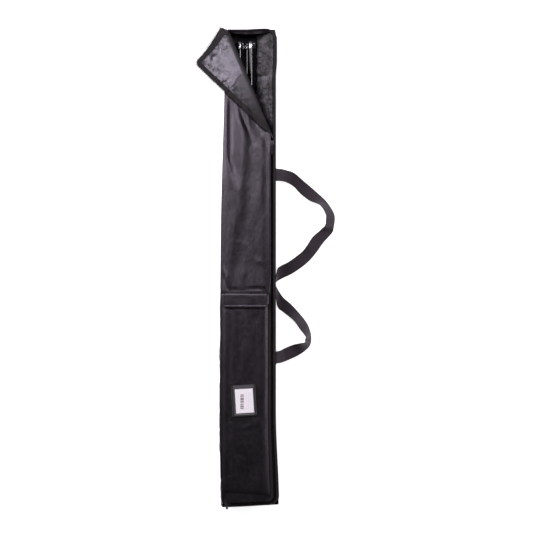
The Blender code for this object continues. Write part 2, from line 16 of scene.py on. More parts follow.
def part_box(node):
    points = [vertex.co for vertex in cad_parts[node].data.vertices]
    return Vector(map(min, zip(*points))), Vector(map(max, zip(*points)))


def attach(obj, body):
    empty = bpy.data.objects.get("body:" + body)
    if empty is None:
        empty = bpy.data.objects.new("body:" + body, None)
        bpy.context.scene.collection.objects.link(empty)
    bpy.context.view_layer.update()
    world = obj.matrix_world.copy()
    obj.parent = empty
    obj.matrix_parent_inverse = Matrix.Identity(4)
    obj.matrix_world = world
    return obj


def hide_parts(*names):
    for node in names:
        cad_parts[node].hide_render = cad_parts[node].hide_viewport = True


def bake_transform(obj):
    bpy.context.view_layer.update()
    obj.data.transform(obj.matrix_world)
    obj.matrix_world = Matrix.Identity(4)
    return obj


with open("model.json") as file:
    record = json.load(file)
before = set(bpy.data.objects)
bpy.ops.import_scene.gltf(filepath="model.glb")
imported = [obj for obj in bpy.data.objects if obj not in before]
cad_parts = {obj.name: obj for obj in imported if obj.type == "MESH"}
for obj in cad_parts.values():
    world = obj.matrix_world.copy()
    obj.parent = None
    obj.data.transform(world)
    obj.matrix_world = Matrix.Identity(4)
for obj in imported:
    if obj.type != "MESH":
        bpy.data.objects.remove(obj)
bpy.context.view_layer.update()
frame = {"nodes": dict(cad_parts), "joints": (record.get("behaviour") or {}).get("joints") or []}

MM = 0.001

# ---- seams and levels that the frame's boxes don't give ------------------------------------
# (y, x) down the left edge, and down the foot of the right side
LEFT_EDGE = [(488.0, -45.0), (300.0, -50.0), (120.0, -55.0), (-120.0, -57.0),
             (-400.0, -57.0), (-488.0, -54.0)]
RIGHT_FOOT = [(488.0, 34.0), (262.0, 42.0), (120.0, 49.0), (-488.0, 49.0)]
CHAIN_X, CHAIN_TOP, CHAIN_BOTTOM, CHAIN_R = 49.0, 483.0, -482.0, 13.0
CHAIN_START_X, CHAIN_END_X = -41.0, -51.0
MOUTH_Y = 268.0
TAPE_INNER, COIL = 7.7, 2.3
FLAP_TAPE = 11.0
CLOTH = 0.9
PIPING_R = 1.1
WEB_WIDTH, WEB_THICK, STRAP_LOWEST = 25.0, 1.5, 0.4
CURVE_STEPS = 24


def corners(node):
    """Lowest and highest corner of a CAD node, in millimetres."""
    low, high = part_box(node)
    return low / MM, high / MM


FRONT_LOW, FRONT_HIGH = (corner.z for corner in corners("front_panel"))
WALL_FOOT, WALL_HEAD = (corner.z for corner in corners("left_side_panel_upper"))
TAPE_LOW, TAPE_HIGH = (corner.z for corner in corners("zip_tape_body"))
Y_END = corners("back_left_piping")[1].y

# ---- the fold line of the corner, from its joint -------------------------------------------
FOLD = next(j for j in frame["joints"] if j["name"] == "corner_fold")
FOLD_AT = Vector(FOLD["pos_m"]) / MM
FOLD_ALONG = -Vector(FOLD["axis"])
FOLD_OUT = Vector((-FOLD_ALONG.y, FOLD_ALONG.x, 0.0))


# ---- curves and fields ---------------------------------------------------------------------

def smooth_line(stations):
    """A smooth function through (position, value) stations, held level beyond its ends."""
    stations = sorted(stations)
    xs = np.array([s[0] for s in stations])
    vs = np.array([s[1] for s in stations])
    slopes = np.gradient(vs, xs)
    fine_x, fine_v = [], []
    for i in range(len(xs) - 1):
        t = np.linspace(0.0, 1.0, CURVE_STEPS, endpoint=i == len(xs) - 2)
        h = xs[i + 1] - xs[i]
        a, b = 2 * t**3 - 3 * t**2 + 1, t**3 - 2 * t**2 + t
        c, d = 3 * t**2 - 2 * t**3, t**3 - t**2
        fine_x.append(xs[i] + t * h)
        fine_v.append(a * vs[i] + b * h * slopes[i] + c * vs[i + 1] + d * h * slopes[i + 1])
    fine_x, fine_v = np.concatenate(fine_x), np.concatenate(fine_v)
    return lambda at: np.interp(at, fine_x, fine_v)


left_x = smooth_line(LEFT_EDGE)
foot_x = smooth_line(RIGHT_FOOT)


def rise(value, low, high):
    """0 below low, 1 above high, with a smooth step between them."""
    t = np.clip((value - low) / (high - low), 0.0, 1.0)
    return t * t * (3.0 - 2.0 * t)


def crease(x, y, line):
    """A ridge, or a groove where the height is negative, along (x, y, height, half width)."""
    nearest = np.full(np.shape(x), np.inf)
    lift = np.zeros(np.shape(x))
    for (x0, y0, h0, w0), (x1, y1, h1, w1) in zip(line, line[1:]):
        dx, dy = x1 - x0, y1 - y0
        t = np.clip(((x - x0) * dx + (y - y0) * dy) / (dx * dx + dy * dy), 0.0, 1.0)
        away = np.hypot(x - x0 - t * dx, y - y0 - t * dy)
        height = h0 + (h1 - h0) * t
        width = w0 + (w1 - w0) * t
        closer = away < nearest
        nearest = np.where(closer, away, nearest)
        lift = np.where(closer, height * np.exp(-(away / width) ** 2), lift)
    return lift


def ripple(x, y, size, seed, stretch=1.0):
    """Smooth noise about zero with features of this size, longer along Y by stretch."""
    flat_x, flat_y = np.ravel(x), np.ravel(y)
    values = [noise.noise(Vector((a / size, b / (size * stretch), seed)))
              for a, b in zip(flat_x, flat_y)]
    return np.reshape(values, np.shape(x))


def crumple(x, y, size, seed):
    """Sharp folds with soft ground between them: 0 on the ground, 1 on a fold."""
    value = np.abs(ripple(x, y, size, seed))
    return np.clip(1.0 - value * 5.0, 0.0, 1.0) ** 2


def grid(down, across):
    """Two grids of points: down changes from row to row, across from column to column."""
    return np.meshgrid(down, across, indexing="ij")


def wall_z(share):
    """Height on a side of the case, from its foot at 0 to its head at 1."""
    return WALL_FOOT - 0.4 + (WALL_HEAD + 0.9 - WALL_FOOT) * share


def to_fold(x, y):
    """Distance along the fold line, and outward from it."""
    dx, dy = x - FOLD_AT.x, y - FOLD_AT.y
    return (dx * FOLD_ALONG.x + dy * FOLD_ALONG.y, dx * FOLD_OUT.x + dy * FOLD_OUT.y)


def from_fold(along, out):
    """x and y of a point given from the fold line."""
    return (FOLD_AT.x + along * FOLD_ALONG.x + out * FOLD_OUT.x,
            FOLD_AT.y + along * FOLD_ALONG.y + out * FOLD_OUT.y)


# ---- the zip's centre line -----------------------------------------------------------------
TOP_RUN = CHAIN_X - CHAIN_R - CHAIN_START_X
SIDE_RUN = CHAIN_TOP - CHAIN_BOTTOM - 2.0 * CHAIN_R
BOTTOM_RUN = CHAIN_X - CHAIN_R - CHAIN_END_X
ARC = math.pi / 2.0 * CHAIN_R
CHAIN_LENGTH = TOP_RUN + SIDE_RUN + BOTTOM_RUN + 2.0 * ARC
MOUTH_RUN = TOP_RUN + ARC + CHAIN_TOP - CHAIN_R - MOUTH_Y      # length of the open stretch
SLIDER_RUN = 12.0                                              # the slider hides this much more


def on_chain(run):
    """x, y and the outward direction of the zip's centre line after this length of it."""
    cx = CHAIN_X - CHAIN_R
    if run <= TOP_RUN:
        return CHAIN_START_X + run, CHAIN_TOP, 0.0, 1.0
    run -= TOP_RUN
    if run <= ARC:
        turn = run / CHAIN_R
        nx, ny = math.sin(turn), math.cos(turn)
        return cx + CHAIN_R * nx, CHAIN_TOP - CHAIN_R + CHAIN_R * ny, nx, ny
    run -= ARC
    if run <= SIDE_RUN:
        return CHAIN_X, CHAIN_TOP - CHAIN_R - run, 1.0, 0.0
    run -= SIDE_RUN
    if run <= ARC:
        turn = run / CHAIN_R
        nx, ny = math.cos(turn), -math.sin(turn)
        return cx + CHAIN_R * nx, CHAIN_BOTTOM + CHAIN_R + CHAIN_R * ny, nx, ny
    return cx - (run - ARC), CHAIN_BOTTOM, 0.0, -1.0


# ---- heights of the cloths -----------------------------------------------------------------
POCKET_LOW, POCKET_HIGH = corners("pocket_panel")
FLAP_LOW, FLAP_HIGH = corners("pocket_flap")
POCKET_Y = FLAP_HIGH.y                       # the pocket flap's seam

FRONT_FOLDS = [
    # the shoulder along the left seam, and the hollow beside it
    [(-44.5, 372.0, 0.4, 5.0), (-45.0, 335.0, 2.4, 6.0), (-46.0, 225.0, 2.6, 7.0),
     (-38.0, 195.0, 2.4, 11.0), (-25.0, 160.0, 2.8, 16.0), (-24.0, 120.0, 2.9, 16.0),
     (-33.0, 70.0, 2.4, 12.0), (-37.0, 20.0, 2.0, 10.0), (-45.0, -42.0, 0.4, 6.0)],
    [(-36.0, 360.0, -0.8, 5.0), (-37.0, 320.0, -2.6, 6.0), (-37.0, 250.0, -2.4, 5.0),
     (-36.0, 215.0, -0.4, 3.5)],
    # the ridge over the outer pole
    [(-11.0, 345.0, 0.6, 9.0), (-10.0, 300.0, 2.8, 13.0), (-12.0, 235.0, 3.0, 13.0),
     (-13.0, 175.0, 1.6, 11.0), (-13.0, 130.0, 0.6, 9.0), (-14.0, 100.0, 0.0, 7.0)],
    # the hollow below the folded corner
    [(-20.0, 345.0, -0.6, 4.0), (-14.0, 322.0, -2.6, 4.5), (-6.0, 297.0, -2.6, 4.5),
     (4.0, 270.0, -1.0, 5.0), (12.0, 245.0, 0.0, 6.0)],
    [(-2.0, 316.0, 0.0, 3.0), (1.0, 300.0, 1.0, 3.5), (6.0, 282.0, 0.0, 4.0)],
    [(8.0, 308.0, -2.4, 6.0), (24.0, 284.0, -2.8, 7.0), (37.0, 262.0, -1.6, 6.0),
     (41.0, 235.0, 0.0, 5.0)],
    # along the zip
    [(36.0, 262.0, -0.4, 5.0), (36.5, 200.0, -0.8, 6.0), (37.0, 60.0, -0.7, 6.0),
     (36.0, -30.0, -0.4, 6.0)],
    [(33.0, 210.0, 0.0, 4.0), (38.0, 180.0, -1.0, 3.5), (42.5, 150.0, 0.0, 3.0)],
    # pulled creases above the pocket
    [(-53.0, -4.0, 0.0, 3.0), (-48.0, -22.0, -2.2, 2.6), (-42.0, -43.0, -1.4, 2.6)],
    [(-49.0, 8.0, 0.0, 3.0), (-43.5, -18.0, 1.6, 3.0), (-37.0, -42.0, 0.8, 3.0)],
    [(-8.0, 20.0, 0.0, 4.0), (-9.0, -10.0, 0.8, 6.0), (-14.0, -42.0, 0.3, 6.0)],
    [(4.0, 26.0, 0.0, 5.0), (22.0, 14.0, 0.7, 6.0), (38.0, 8.0, 0.0, 5.0)],
    [(-30.0, 62.0, 0.0, 5.0), (-12.0, 50.0, 0.3, 6.0), (8.0, 52.0, 0.0, 5.0)],
    [(-40.0, -40.0, -0.6, 2.6), (-26.0, -44.0, -1.2, 2.4), (-14.0, -43.0, 0.0, 2.4)],
    [(-4.0, -42.0, -0.8, 2.8), (16.0, -41.0, -2.2, 3.0), (34.0, -43.0, -1.6, 2.6)],
]


def front_right_x(y):
    """Right edge of the front cloth: its hem on the zip tape, or the fold line."""
    hem = 46.4 - 4.8 * rise(-y, 20.0, 70.0)
    fold = FOLD_AT.x + (y - FOLD_AT.y) * FOLD_ALONG.x / FOLD_ALONG.y - 1.6 / FOLD_OUT.x
    return np.minimum(hem, fold)


FRONT_DOME, POCKET_FULL, POCKET_SAG = 2.4, 4.2, 3.4


def front_z(x, y):
    """Top of the front cloth, which lies over the poles and is held down by its seams."""
    left, right = left_x(y) + 1.5, front_right_x(y)
    _, out = to_fold(x, y)
    inward = np.minimum(x - left, right - x)
    free = 1.0 - np.exp(-np.clip(inward, 0.0, None) / 5.0)
    free = free * (1.0 - 0.75 * rise(out, -16.0, -2.0))
    under = 1.0 - 0.55 * rise(y, 322.0 - 1.1 * (x + 45.0), 352.0 - 1.1 * (x + 45.0))
    dome = FRONT_DOME * free * (1.0 - 0.25 * ((x + 4.0) / 50.0) ** 2)
    folds = sum(crease(x, y, line) for line in FRONT_FOLDS)
    fine = 0.55 * ripple(x, y, 16.0, 3.1, 3.2) + 0.16 * ripple(x, y, 6.0, 7.7, 1.6)
    seam = 0.5 * np.exp(-((right - 1.4 - x) / 2.2) ** 2) + 0.3 * np.exp(-((x - left) / 2.0) ** 2)
    lifted = 1.6 * rise(-y, -POCKET_Y - 60.0, -POCKET_Y) * rise(inward, 0.0, 14.0)
    sunk = -2.0 * rise(-y, -POCKET_Y, -POCKET_Y + 20.0)
    return (FRONT_HIGH + 0.5 + dome * under + folds * free * under + fine * free
            + seam + lifted + sunk)


POCKET_FOLDS = [
    [(-46.0, -90.0, 0.6, 5.0), (-47.0, -250.0, 1.0, 5.0), (-46.0, -440.0, 0.8, 5.0)],
    [(-36.0, -84.0, -0.5, 4.0), (-38.0, -230.0, -0.8, 5.0), (-40.0, -420.0, -0.8, 5.0)],
    [(-6.0, -84.0, 0.2, 6.0), (-3.0, -170.0, 0.6, 8.0), (-5.0, -225.0, 0.1, 6.0)],
    [(-20.0, -95.0, -0.7, 5.0), (-17.0, -160.0, -0.9, 5.0), (-16.0, -210.0, 0.0, 5.0)],
    [(14.0, -100.0, -0.6, 6.0), (17.0, -180.0, -0.8, 6.0), (23.0, -230.0, -0.4, 6.0)],
    [(28.0, -215.0, 0.2, 7.0), (29.0, -290.0, 0.8, 9.0), (22.0, -330.0, 0.8, 9.0),
     (28.0, -400.0, 1.0, 9.0), (20.0, -452.0, 0.4, 8.0)],
    [(-28.0, -330.0, 0.0, 5.0), (0.0, -322.0, 0.8, 5.0), (18.0, -312.0, 0.2, 5.0)],
    [(-34.0, -350.0, 0.0, 5.0), (-20.0, -378.0, -0.9, 6.0), (4.0, -386.0, 0.0, 7.0)],
    [(2.0, -340.0, 0.0, 6.0), (6.0, -400.0, -1.0, 8.0), (-2.0, -450.0, -0.3, 8.0)],
]


def pocket_z(x, y):
    """Top of the pocket, which is slack over its three sewn sides."""
    left, right = POCKET_LOW.x - 1.5, POCKET_HIGH.x + 1.5
    inward = np.clip(np.minimum(x - left, right - x), 0.0, None)
    bottom = np.clip(y - (POCKET_LOW.y - 1.0 - 0.1 * (x + 52.0)), 0.0, None)
    side = 1.0 - np.exp(-inward / 6.0)
    foot = 1.0 - np.exp(-bottom / 6.0)
    sag = -POCKET_SAG * np.exp(-((y + 461.0 + 0.1 * (x + 50.0)) / 7.0) ** 2)
    folds = sum(crease(x, y, line) for line in POCKET_FOLDS)
    flat = 1.0 - 0.9 * window_share(x, y)
    fine = 0.5 * ripple(x, y, 15.0, 21.3, 3.0) + 0.14 * ripple(x, y, 6.0, 5.5, 1.5)
    return FRONT_HIGH + 0.6 + (POCKET_FULL + (folds + fine) * flat + sag * side) * side * foot


WINDOW_TILT = 3.4
WINDOW_MIDDLE = (-8.5, -268.5)
WINDOW_HALF = (24.5, 31.5)
WINDOW_TURN = (math.cos(math.radians(WINDOW_TILT)), math.sin(math.radians(WINDOW_TILT)))


def on_window(across, up):
    """x and y of a point of the window, which is sewn on a little askew."""
    c, s = WINDOW_TURN
    return WINDOW_MIDDLE[0] + c * across - s * up, WINDOW_MIDDLE[1] + s * across + c * up


def window_share(x, y):
    """1 under the document window, which holds the pocket flat, fading to 0 round it."""
    c, s = WINDOW_TURN
    dx, dy = x - WINDOW_MIDDLE[0], y - WINDOW_MIDDLE[1]
    across, up = c * dx + s * dy, c * dy - s * dx
    beyond = np.maximum(np.abs(across) - WINDOW_HALF[0], np.abs(up) - WINDOW_HALF[1])
    return 1.0 - rise(beyond, 0.0, 9.0)


CORNER_FOLDS = [
    [(-78.0, 440.0, -0.9, 2.2), (-70.0, 428.0, -1.6, 2.6), (-62.0, 433.0, -0.6, 2.0)],
    [(-96.0, 418.0, -0.6, 2.0), (-82.0, 410.0, -1.5, 2.6), (-70.0, 396.0, -0.4, 2.4)],
    [(-84.0, 396.0, -0.5, 2.0), (-72.0, 384.0, -1.6, 2.4), (-64.0, 372.0, -0.6, 2.2)],
    [(-74.0, 372.0, 0.0, 2.0), (-62.0, 378.0, 1.4, 2.6), (-54.0, 366.0, 0.2, 2.2)],
    [(-66.0, 356.0, -0.4, 2.0), (-55.0, 360.0, -1.5, 2.2), (-47.0, 352.0, -0.3, 2.0)],
    [(-62.0, 455.0, -0.4, 2.0), (-55.0, 447.0, -1.4, 2.4), (-58.0, 436.0, -0.3, 2.2)],
    [(-52.0, 470.0, -0.3, 2.0), (-46.0, 455.0, -1.2, 2.4), (-49.0, 440.0, -0.2, 2.0)],
    [(-86.0, 428.0, 0.0, 6.0), (-72.0, 412.0, 1.1, 8.0), (-58.0, 420.0, 0.3, 8.0)],
    # the arc where the lining gives way to the twisted end of the fold
    [(-10.4, 395.0, -1.4, 1.6), (-19.0, 388.0, -1.9, 1.6), (-25.5, 376.0, -1.9, 1.6),
     (-33.0, 368.0, -1.2, 1.6)],
    [(-4.0, 372.0, 0.0, 4.0), (12.0, 336.0, 1.2, 5.0), (22.0, 318.0, 0.2, 4.0)],
    [(-14.0, 372.0, 0.0, 3.0), (0.0, 340.0, -1.0, 4.0), (14.0, 318.0, 0.0, 3.0)],
    [(4.0, 326.0, -0.8, 3.0), (16.0, 306.0, -3.4, 4.5), (28.0, 292.0, -3.4, 4.5),
     (39.0, 277.0, -1.2, 3.0)],
]


TURN_END = 52.6                        # a height; ROLL_LOW lies just above it
ROLL_LOW = TURN_END + CLOTH + 0.2      # the corner's cloth stays above it near the fold


CORNER_HIGH = 54.6
ROLL_FOOT, ROLL_TALL, ROLL_BULGE = 51.0, 7.5, 4.2


def roll_share(along):
    """How full the roll is: it thins out towards the lower end of the fold."""
    return 1.0 - 0.62 * rise(along, 60.0, 235.0)


def corner_z(x, y):
    """Top of the folded-back corner, with the lining up."""
    along, out = to_fold(x, y)
    back = np.clip(-out, 0.0, None)
    roll = ROLL_BULGE * roll_share(along) * np.exp(-(back / 13.0) ** 2)
    hang = -3.0 * np.clip((-50.0 - x) / 55.0, 0.0, None) ** 1.5
    middle = rise(back, 2.0, 14.0)
    edge = edge_share(x, y)
    folds = sum(crease(x, y, line) for line in CORNER_FOLDS)
    sharp = -1.3 * edge * crumple(x, y, 15.0, 12.4)
    fine = (0.5 * ripple(x, y, 11.0, 2.2) + 0.5 * edge * ripple(x, y, 6.0, 8.1)) * middle
    twist = 4.0 * rise(along, 140.0, 200.0) * np.clip(back / 24.0, 0.0, 1.0)
    z = CORNER_HIGH + roll + hang + twist + (folds + sharp) * middle + fine
    return np.maximum(z, ROLL_LOW - 60.0 * rise(back, 24.0, 34.0))


def edge_share(x, y):
    """1 at the zip of the folded corner, fading to 0 in its middle."""
    along, out = to_fold(x, y)
    closed_x, closed_y = from_fold(along, -out)
    away = np.minimum(CHAIN_TOP - closed_y, CHAIN_X - closed_x)
    return 1.0 - rise(away, 10.0, 46.0)


# ---- meshes --------------------------------------------------------------------------------

FOOT_SPLAY, FOOT_SLANT = 6.5, 6.0
HEAD_SPREAD, HEAD_BULGE = 2.2, 1.8
CORNER_PAST_TOP, CORNER_PAST_SIDE, FOLD_BULGE = 11.5, 3.0, 11.0


def settled(verts, body):
    """Points moved to where the cloth has settled: the case bulges by its head and splays at
    its foot, and the zip edge of the folded corner stands out past the line of the zip."""
    verts = np.array(verts, float)
    x, y = verts[:, 0].copy(), verts[:, 1].copy()
    if body == "root":
        share = np.clip((x + 50.0) / 107.0, 0.0, 1.0)
        verts[:, 0] += FOOT_SPLAY * rise(x, 10.0, 57.0) * rise(-y, 290.0, 488.0)
        spread = rise(y, 390.0, 425.0) * rise(-y, -488.0, -470.0)
        verts[:, 0] += HEAD_SPREAD * rise(x, 36.0, 57.0) * spread
        verts[:, 1] += FOOT_SLANT * share**1.5 * rise(-y, 430.0, 488.0)
        verts[:, 1] += HEAD_BULGE * rise(y, 466.0, 488.0) * np.exp(-((x - 30.0) / 20.0) ** 2)
    elif body in ("corner", None):
        along, out = to_fold(x, y)
        closed_x, closed_y = from_fold(along, -out)
        flat = rise(-out, 1.0, 9.0)
        top = CORNER_PAST_TOP - 5.0 * rise(along, 6.0, 38.0)
        top = top * rise(closed_y, 446.0, 482.0) * flat
        side = CORNER_PAST_SIDE * rise(closed_x, 28.0, 46.0) * flat
        bulge = FOLD_BULGE * (1.0 - rise(along, 0.0, 34.0)) * rise(-out, -3.0, 5.0)
        up = (-2.0 * FOLD_OUT.x * FOLD_OUT.y, 1.0 - 2.0 * FOLD_OUT.y**2)
        across = (1.0 - 2.0 * FOLD_OUT.x**2, -2.0 * FOLD_OUT.x * FOLD_OUT.y)
        verts[:, 0] += top * up[0] + side * across[0]
        verts[:, 1] += top * up[1] + side * across[1] + bulge
    return verts


def add_piece(name, verts, faces, looks, body, replaces=(), slot=None, sharp=50.0, values=None):
    """A mesh piece from points in millimetres, riding on a body. looks are its materials."""
    mesh = bpy.data.meshes.new(name)
    mesh.from_pydata(settled(verts, body) * MM, [], faces)
    for look in looks:
        mesh.materials.append(look)
    if values is not None:
        for label, numbers in values.items():
            layer = mesh.attributes.new(label, "FLOAT", "POINT")
            layer.data.foreach_set("value", np.asarray(numbers, np.float32).ravel())
    mesh.validate()
    mesh.shade_smooth()
    mesh.set_sharp_from_angle(angle=math.radians(sharp))
    piece = bpy.data.objects.new(name, mesh)
    bpy.context.scene.collection.objects.link(piece)
    if body is not None:
        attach(piece, body)
    if replaces:
        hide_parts(*replaces)
    return piece


def normals_of(points):
    """Unit normals of a grid of points, row direction crossed with column direction."""
    rows = np.gradient(points, axis=0)
    cols = np.gradient(points, axis=1)
    normal = np.cross(rows, cols)
    length = np.linalg.norm(normal, axis=2, keepdims=True)
    return normal / np.where(length < 1e-9, 1.0, length)


def add_sheet(name, points, thickness, looks, body, flip=False, values=None, **kwargs):
    """A closed cloth from a grid of points on its face; its back lies thickness behind.

    looks are the materials of the face and of the back.
    """
    points = np.asarray(points, float)
    rows, cols, _ = points.shape
    side = -1.0 if flip else 1.0
    behind = points - normals_of(points) * thickness * side
    count = rows * cols
    verts = np.concatenate([points.reshape(-1, 3), behind.reshape(-1, 3)])
    at = np.arange(count).reshape(rows, cols)
    quads = np.stack([at[:-1, :-1], at[1:, :-1], at[1:, 1:], at[:-1, 1:]], -1).reshape(-1, 4)
    face, back = (quads[:, ::-1], quads + count) if flip else (quads, quads[:, ::-1] + count)
    border = np.concatenate([at[0, :-1], at[:-1, -1], at[-1, :0:-1], at[:0:-1, 0]])
    after = np.roll(border, -1)
    rim = np.stack([border, after, after + count, border + count], -1)
    if flip:
        rim = rim[:, ::-1]
    faces = np.concatenate([face, back, rim]).tolist()
    if values is not None:
        values = {key: np.concatenate([np.ravel(v), np.ravel(v)]) for key, v in values.items()}
    piece = add_piece(name, verts, faces, looks, body, values=values, **kwargs)
    if len(looks) > 1:
        index = np.zeros(len(piece.data.polygons), np.int32)
        index[len(quads):2 * len(quads)] = 1
        piece.data.polygons.foreach_set("material_index", index)
    return piece


TUBE_SIDES = 10


def oval_rings(path, side, half_width, half_height):
    """Oval rings round a path, as wide as half_width along side: points [station, turn, 3]."""
    along = np.gradient(path, axis=0)
    along /= np.linalg.norm(along, axis=1, keepdims=True)
    if side is None:
        side = np.cross(along, (0.0, 0.0, 1.0))
        side /= np.linalg.norm(side, axis=1, keepdims=True)
    lift = np.cross(side, along)
    turn = np.arange(TUBE_SIDES)[:, None] / TUBE_SIDES * math.tau
    side = np.broadcast_to(side, along.shape)
    return path[:, None] + (np.cos(turn) * side[:, None] * half_width
                            + np.sin(turn) * lift[:, None] * half_height)


def lathe_faces(rows, sides, closed=False):
    """Quads between rings, with a cap at each end, or back to the first ring if closed."""
    faces = []
    total = rows * sides
    for r in range(rows if closed else rows - 1):
        a, b = r * sides, (r + 1) * sides % total
        for k in range(sides):
            m = (k + 1) % sides
            faces.append((a + k, a + m, b + m, b + k))
    if not closed:
        faces.append(tuple(reversed(range(sides))))
        faces.append(tuple(total - sides + k for k in range(sides)))
    return faces


def add_tube(name, path, radius, look, body, **kwargs):
    """A round tube along a path, with closed ends."""
    rings = oval_rings(path, None, radius, radius)[:, ::-1]
    return add_piece(name, rings.reshape(-1, 3), lathe_faces(len(path), TUBE_SIDES), [look],
                     body, **kwargs)


def merged(parts):
    """Verts and faces of several (verts, faces) shapes as one."""
    verts, faces, base = [], [], 0
    for some, their_faces in parts:
        verts.append(np.asarray(some, float))
        faces += [tuple(base + i for i in face) for face in their_faces]
        base += len(some)
    return np.concatenate(verts), faces


BEAD_SIDES = 6
BEAD_RINGS = ((0.0, 0.35), (0.18, 0.9), (0.5, 1.0), (0.82, 0.9), (1.0, 0.35))


def bead(start, end, radius, up=(0.0, 0.0, 1.0)):
    """A short thread from start to end, tapered at both ends."""
    start, end = np.asarray(start, float), np.asarray(end, float)
    along = end - start
    length = np.linalg.norm(along)
    along = along / length
    side = np.cross(along, up)
    side /= np.linalg.norm(side)
    lift = np.cross(side, along)
    rings = []
    for t, share in BEAD_RINGS:
        for k in reversed(range(BEAD_SIDES)):
            turn = math.tau * k / BEAD_SIDES
            rings.append(start + along * length * t
                         + (side * math.cos(turn) + lift * math.sin(turn)) * radius * share)
    return rings, lathe_faces(len(BEAD_RINGS), BEAD_SIDES)


STITCH, STITCH_GAP, THREAD_R = 2.6, 1.2, 0.26


def stitches_along(path, lift=0.12):
    """Stitches laid end to end along a path of 3-D points."""
    path = np.asarray(path, float)
    steps = np.linalg.norm(np.diff(path, axis=0), axis=1)
    run = np.concatenate([[0.0], np.cumsum(steps)])
    parts = []
    for k in range(int(run[-1] // (STITCH + STITCH_GAP))):
        begin = k * (STITCH + STITCH_GAP) + STITCH_GAP / 2.0
        a, b = (np.array([np.interp(e, run, path[:, i]) for i in range(3)])
                for e in (begin, begin + STITCH))
        a[2] += lift
        b[2] += lift
        parts.append(bead(a, b, THREAD_R))
    return parts


# ---- materials -----------------------------------------------------------------------------

class Look:
    """A Principled material and short ways to add nodes to it."""

    def __init__(self, name, **constants):
        self.material = bpy.data.materials.new(name)
        self.material.use_nodes = True
        self.tree = self.material.node_tree
        self.shader = self.tree.nodes["Principled BSDF"]
        for socket, value in constants.items():
            self.shader.inputs[socket.replace("_", " ")].default_value = value
        self.where = self.add("ShaderNodeTexCoord").outputs["Object"]
        self.normal = None

    def add(self, kind, inputs=(), **settings):
        """A node with its settings, its sockets linked or set."""
        node = self.tree.nodes.new(kind)
        for key, value in settings.items():
            setattr(node, key, value)
        for socket, value in dict(inputs).items():
            if isinstance(value, bpy.types.NodeSocket):
                self.tree.links.new(value, node.inputs[socket])
            else:
                node.inputs[socket].default_value = value
        return node

    def stretched(self, scale):
        """Object coordinates in metres, times a scale for each axis."""
        return self.add("ShaderNodeMapping", {"Vector": self.where, "Scale": scale}).outputs[0]

    def noise(self, size, detail=3.0, stretch=(1.0, 1.0, 1.0)):
        """Noise with features of this size in metres, longer along an axis by stretch."""
        vector = self.stretched([1.0 / s for s in stretch])
        return self.add("ShaderNodeTexNoise", {"Vector": vector, "Scale": 1.0 / size,
                                               "Detail": detail}).outputs["Fac"]

    def bands(self, pitch, axis):
        """Round ribs across an axis, this far apart in metres."""
        scale = math.tau / pitch / 20.0
        return self.add("ShaderNodeTexWave", {"Vector": self.where, "Scale": scale},
                        bands_direction=axis).outputs["Fac"]

    def math(self, operation, a, b=0.5):
        """One step of arithmetic on two values."""
        return self.add("ShaderNodeMath", {0: a, 1: b}, operation=operation).outputs[0]

    def blend(self, factor, low, high):
        """A colour between low and high."""
        node = self.add("ShaderNodeMix", data_type="RGBA")
        for index, value in ((0, factor), (6, low), (7, high)):
            if isinstance(value, bpy.types.NodeSocket):
                self.tree.links.new(value, node.inputs[index])
            else:
                node.inputs[index].default_value = (*value, 1.0) if index else value
        return node.outputs[2]

    def spread(self, value, low, high, out_low=0.0, out_high=1.0):
        """A value moved from one range to another."""
        return self.add("ShaderNodeMapRange", {0: value, 1: low, 2: high, 3: out_low,
                                               4: out_high}).outputs[0]

    def attribute(self, name):
        """A value stored on the mesh."""
        return self.add("ShaderNodeAttribute", attribute_name=name).outputs["Fac"]

    def bump(self, height, distance, strength=1.0):
        """Raise the surface by height times a distance in metres."""
        inputs = {"Height": height, "Distance": distance, "Strength": strength}
        if self.normal is not None:
            inputs["Normal"] = self.normal
        self.normal = self.add("ShaderNodeBump", inputs).outputs[0]
        self.tree.links.new(self.normal, self.shader.inputs["Normal"])

    def link(self, socket, value):
        """Feed a socket of the shader."""
        self.tree.links.new(value, self.shader.inputs[socket])


THREADS_APART = 0.0006      # metres


def woven(name, dark, light, roughness, crinkle=0.00012, **constants):
    """Plain-woven cloth: threads both ways, patches of colour, and a fine crinkle."""
    look = Look(name, **constants)
    patches = look.spread(look.noise(0.03, 4.0, (1.0, 2.5, 1.0)), 0.35, 0.68)
    threads = look.math("MAXIMUM", look.bands(THREADS_APART, "X"),
                        look.bands(THREADS_APART, "Y"))
    shade = look.math("MULTIPLY", patches, look.spread(threads, 0.0, 1.0, 0.82, 1.0))
    look.link("Base Color", look.blend(shade, dark, light))
    worn = look.noise(0.008, 3.0)
    look.link("Roughness", look.spread(worn, 0.3, 0.7, roughness - 0.05, roughness + 0.06))
    look.bump(look.noise(0.006, 4.0, (1.0, 1.8, 1.0)), crinkle)
    look.bump(threads, 0.00004, 0.6)
    return look.material


def ribbed(name, dark, light, roughness, pitch, axis="Y", **constants):
    """Zip tape or hem: ribs across an axis with fluff between them."""
    look = Look(name, **constants)
    ribs = look.bands(pitch, axis)
    fluff = look.noise(0.002, 5.0)
    look.link("Base Color", look.blend(look.math("MULTIPLY", ribs, fluff), dark, light))
    look.link("Roughness", look.spread(fluff, 0.3, 0.7, roughness - 0.08, roughness + 0.08))
    look.bump(ribs, 0.00015)
    look.bump(fluff, 0.0001, 0.5)
    return look.material


